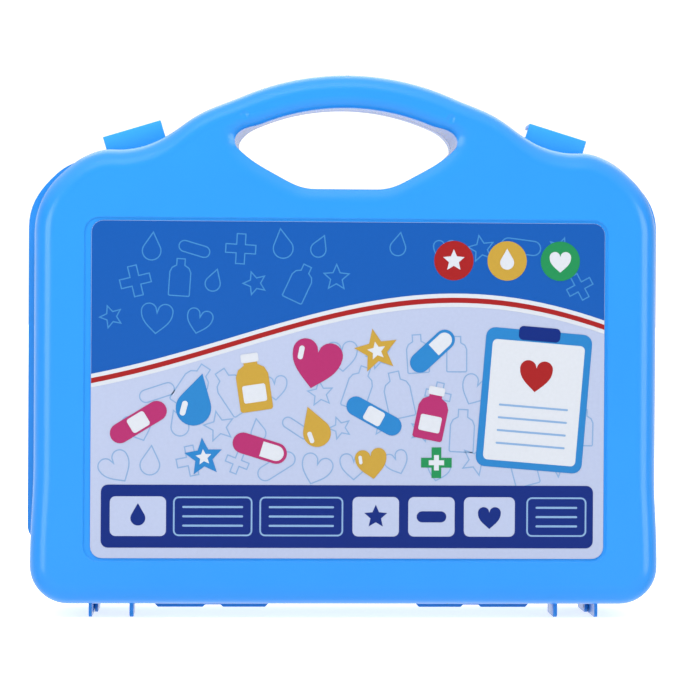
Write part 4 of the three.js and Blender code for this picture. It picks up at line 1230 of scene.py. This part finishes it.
def soften_toy(node, slot):
    bm = bmesh.new()
    bm.from_mesh(frame["nodes"][node].data)
    bm.transform(Matrix.Diagonal((1 / MM, 1 / MM, 1 / MM, 1)))
    bmesh.ops.remove_doubles(bm, verts=bm.verts, dist=TOY_WELD)
    bmesh.ops.dissolve_limit(
        bm, angle_limit=TOY_FLAT_ANGLE, verts=bm.verts, edges=bm.edges, delimit=set())
    round_edges(bm, TOY_BEVEL, 2)
    body = frame["nodes"][node]["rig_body"]
    piece("toy_" + node, [bm], Matrix.Identity(4), body, slot, toy_plastic[slot], node)


for part in frame["record"]["subparts"]:
    if part["material_slot"] in toy_plastic:
        soften_toy(part["node"], part["material_slot"])


# Studio: a lit pale table, a white surround that is dimmer behind the camera, and soft lights

FLOOR_HALF_M = 40


def studio_floor():
    """A pale table that glows under and behind the case, and less so towards the camera."""
    bm = bmesh.new()
    bmesh.ops.create_grid(bm, x_segments=1, y_segments=1, size=FLOOR_HALF_M)
    mesh = bpy.data.meshes.new("studio_floor")
    bm.to_mesh(mesh)
    bm.free()
    material, tree = new_surface("lit_acrylic_table")
    place = add_node(tree, "ShaderNodeTexCoord").outputs["Object"]
    parts = add_node(tree, "ShaderNodeSeparateXYZ", {"Vector": place})
    glow = add_node(tree, "ShaderNodeMapRange", {
        "Value": parts.outputs["Y"], "From Min": -0.5, "From Max": -0.22, "To Min": 0.0,
        "To Max": 0.75}, interpolation_type="SMOOTHSTEP")
    close_surface(tree, add_node(tree, "ShaderNodeBsdfPrincipled", {
        "Base Color": linear("#e6e6e6"), "Roughness": 0.9, "Specular IOR Level": 0.1,
        "Emission Color": (1, 1, 1, 1), "Emission Strength": glow.outputs[0]}))
    mesh.materials.append(material)
    floor = bpy.data.objects.new("studio_floor", mesh)
    bpy.context.scene.collection.objects.link(floor)
    floor.visible_glossy = False


def studio_surround():
    """White light from behind the case, dimmer above the horizon, with more from overhead and a
    little from straight below."""
    world = bpy.data.worlds.new("studio_surround")
    world.use_nodes = True
    tree = world.node_tree
    tree.nodes.clear()
    direction = add_node(tree, "ShaderNodeTexCoord").outputs["Generated"]
    parts = add_node(tree, "ShaderNodeSeparateXYZ", {"Vector": direction})
    behind = add_node(tree, "ShaderNodeMapRange", {
        "Value": parts.outputs["Y"], "From Min": -0.2, "From Max": 0.85, "To Min": 0.15,
        "To Max": 1.15}, interpolation_type="SMOOTHSTEP")
    above = add_node(tree, "ShaderNodeMapRange", {
        "Value": parts.outputs["Z"], "From Min": 0.15, "From Max": 0.8, "To Min": 0.0,
        "To Max": 0.9}, interpolation_type="SMOOTHSTEP")
    below = add_node(tree, "ShaderNodeMapRange", {
        "Value": parts.outputs["Z"], "From Min": -0.95, "From Max": -0.6, "To Min": 0.4,
        "To Max": 0.0}, interpolation_type="SMOOTHSTEP")
    upper = add_node(tree, "ShaderNodeMapRange", {
        "Value": parts.outputs["Z"], "From Min": 0.13, "From Max": 0.3, "To Min": 1.0,
        "To Max": 0.6}, interpolation_type="SMOOTHSTEP")
    sheet_light = add_node(tree, "ShaderNodeMath", {
        0: behind.outputs[0], 1: upper.outputs[0]}, operation="MULTIPLY")
    level = add_node(tree, "ShaderNodeMath", {
        0: sheet_light.outputs[0], 1: above.outputs[0]}, operation="ADD")
    strength = add_node(tree, "ShaderNodeMath", {
        0: level.outputs[0], 1: below.outputs[0]}, operation="ADD")
    light = add_node(tree, "ShaderNodeBackground", {
        "Color": (1, 1, 1, 1), "Strength": strength.outputs[0]})
    add_node(tree, "ShaderNodeOutputWorld", {"Surface": light.outputs[0]})
    bpy.context.scene.world = world


def placed(name, data, turn, place=(0, 0, 0)):
    made = bpy.data.objects.new(name, data)
    made.matrix_world = Matrix.Translation(Vector(place) * MM) @ turn.to_4x4()
    bpy.context.scene.collection.objects.link(made)
    return made


def aimed(place, target):
    return (Vector(target) - Vector(place)).to_track_quat("-Z", "Y").to_matrix()


def soft_light(name, strength, azimuth, elevation, spread_angle):
    """A broad even light from a direction; azimuth 0 is in front of the labelled side."""
    light = bpy.data.lights.new(name, "SUN")
    light.energy = strength
    light.angle = math.radians(spread_angle)
    turn = Matrix.Rotation(math.radians(azimuth), 3, "Z")
    placed(name, light, turn @ Matrix.Rotation(math.radians(90 - elevation), 3, "X"))


KEY_PLACE = (-120, -620, 800)
KEY_TARGET = (0, 0, 120)
KEY_WIDTH, KEY_HEIGHT = 700, 500
KEY_POWER = 7.9


def key_box():
    """A large softbox above the front, near enough that the case gets darker towards its foot.
    It is so diffuse that it leaves no highlight."""
    light = bpy.data.lights.new("key_box", "AREA")
    light.shape = "RECTANGLE"
    light.size, light.size_y = KEY_WIDTH * MM, KEY_HEIGHT * MM
    light.energy = KEY_POWER
    placed("key_box", light, aimed(KEY_PLACE, KEY_TARGET), KEY_PLACE).visible_glossy = False


CAMERA_PLACE = Vector((-50, -1100, 130))
CAMERA_AIM = Vector((-1.6, 0, 120.4))
CAMERA_LENS = 131.8
CAMERA_ROLL = math.radians(0.33)


def photograph_camera():
    camera = bpy.data.cameras.new("photograph_camera")
    camera.lens = CAMERA_LENS
    camera.sensor_width = 36
    camera.clip_end = 100
    turn = aimed(CAMERA_PLACE, CAMERA_AIM) @ Matrix.Rotation(CAMERA_ROLL, 3, "Z")
    bpy.context.scene.camera = placed("photograph_camera", camera, turn, CAMERA_PLACE)


studio_floor()
studio_surround()
key_box()
soft_light("left_box", strength=0.8, azimuth=-41, elevation=2, spread_angle=30)
soft_light("right_box", strength=1.0, azimuth=50, elevation=2, spread_angle=34)
soft_light("back_light", strength=0.7, azimuth=170, elevation=50, spread_angle=60)
photograph_camera()
bpy.context.scene.view_settings.view_transform = "Standard"
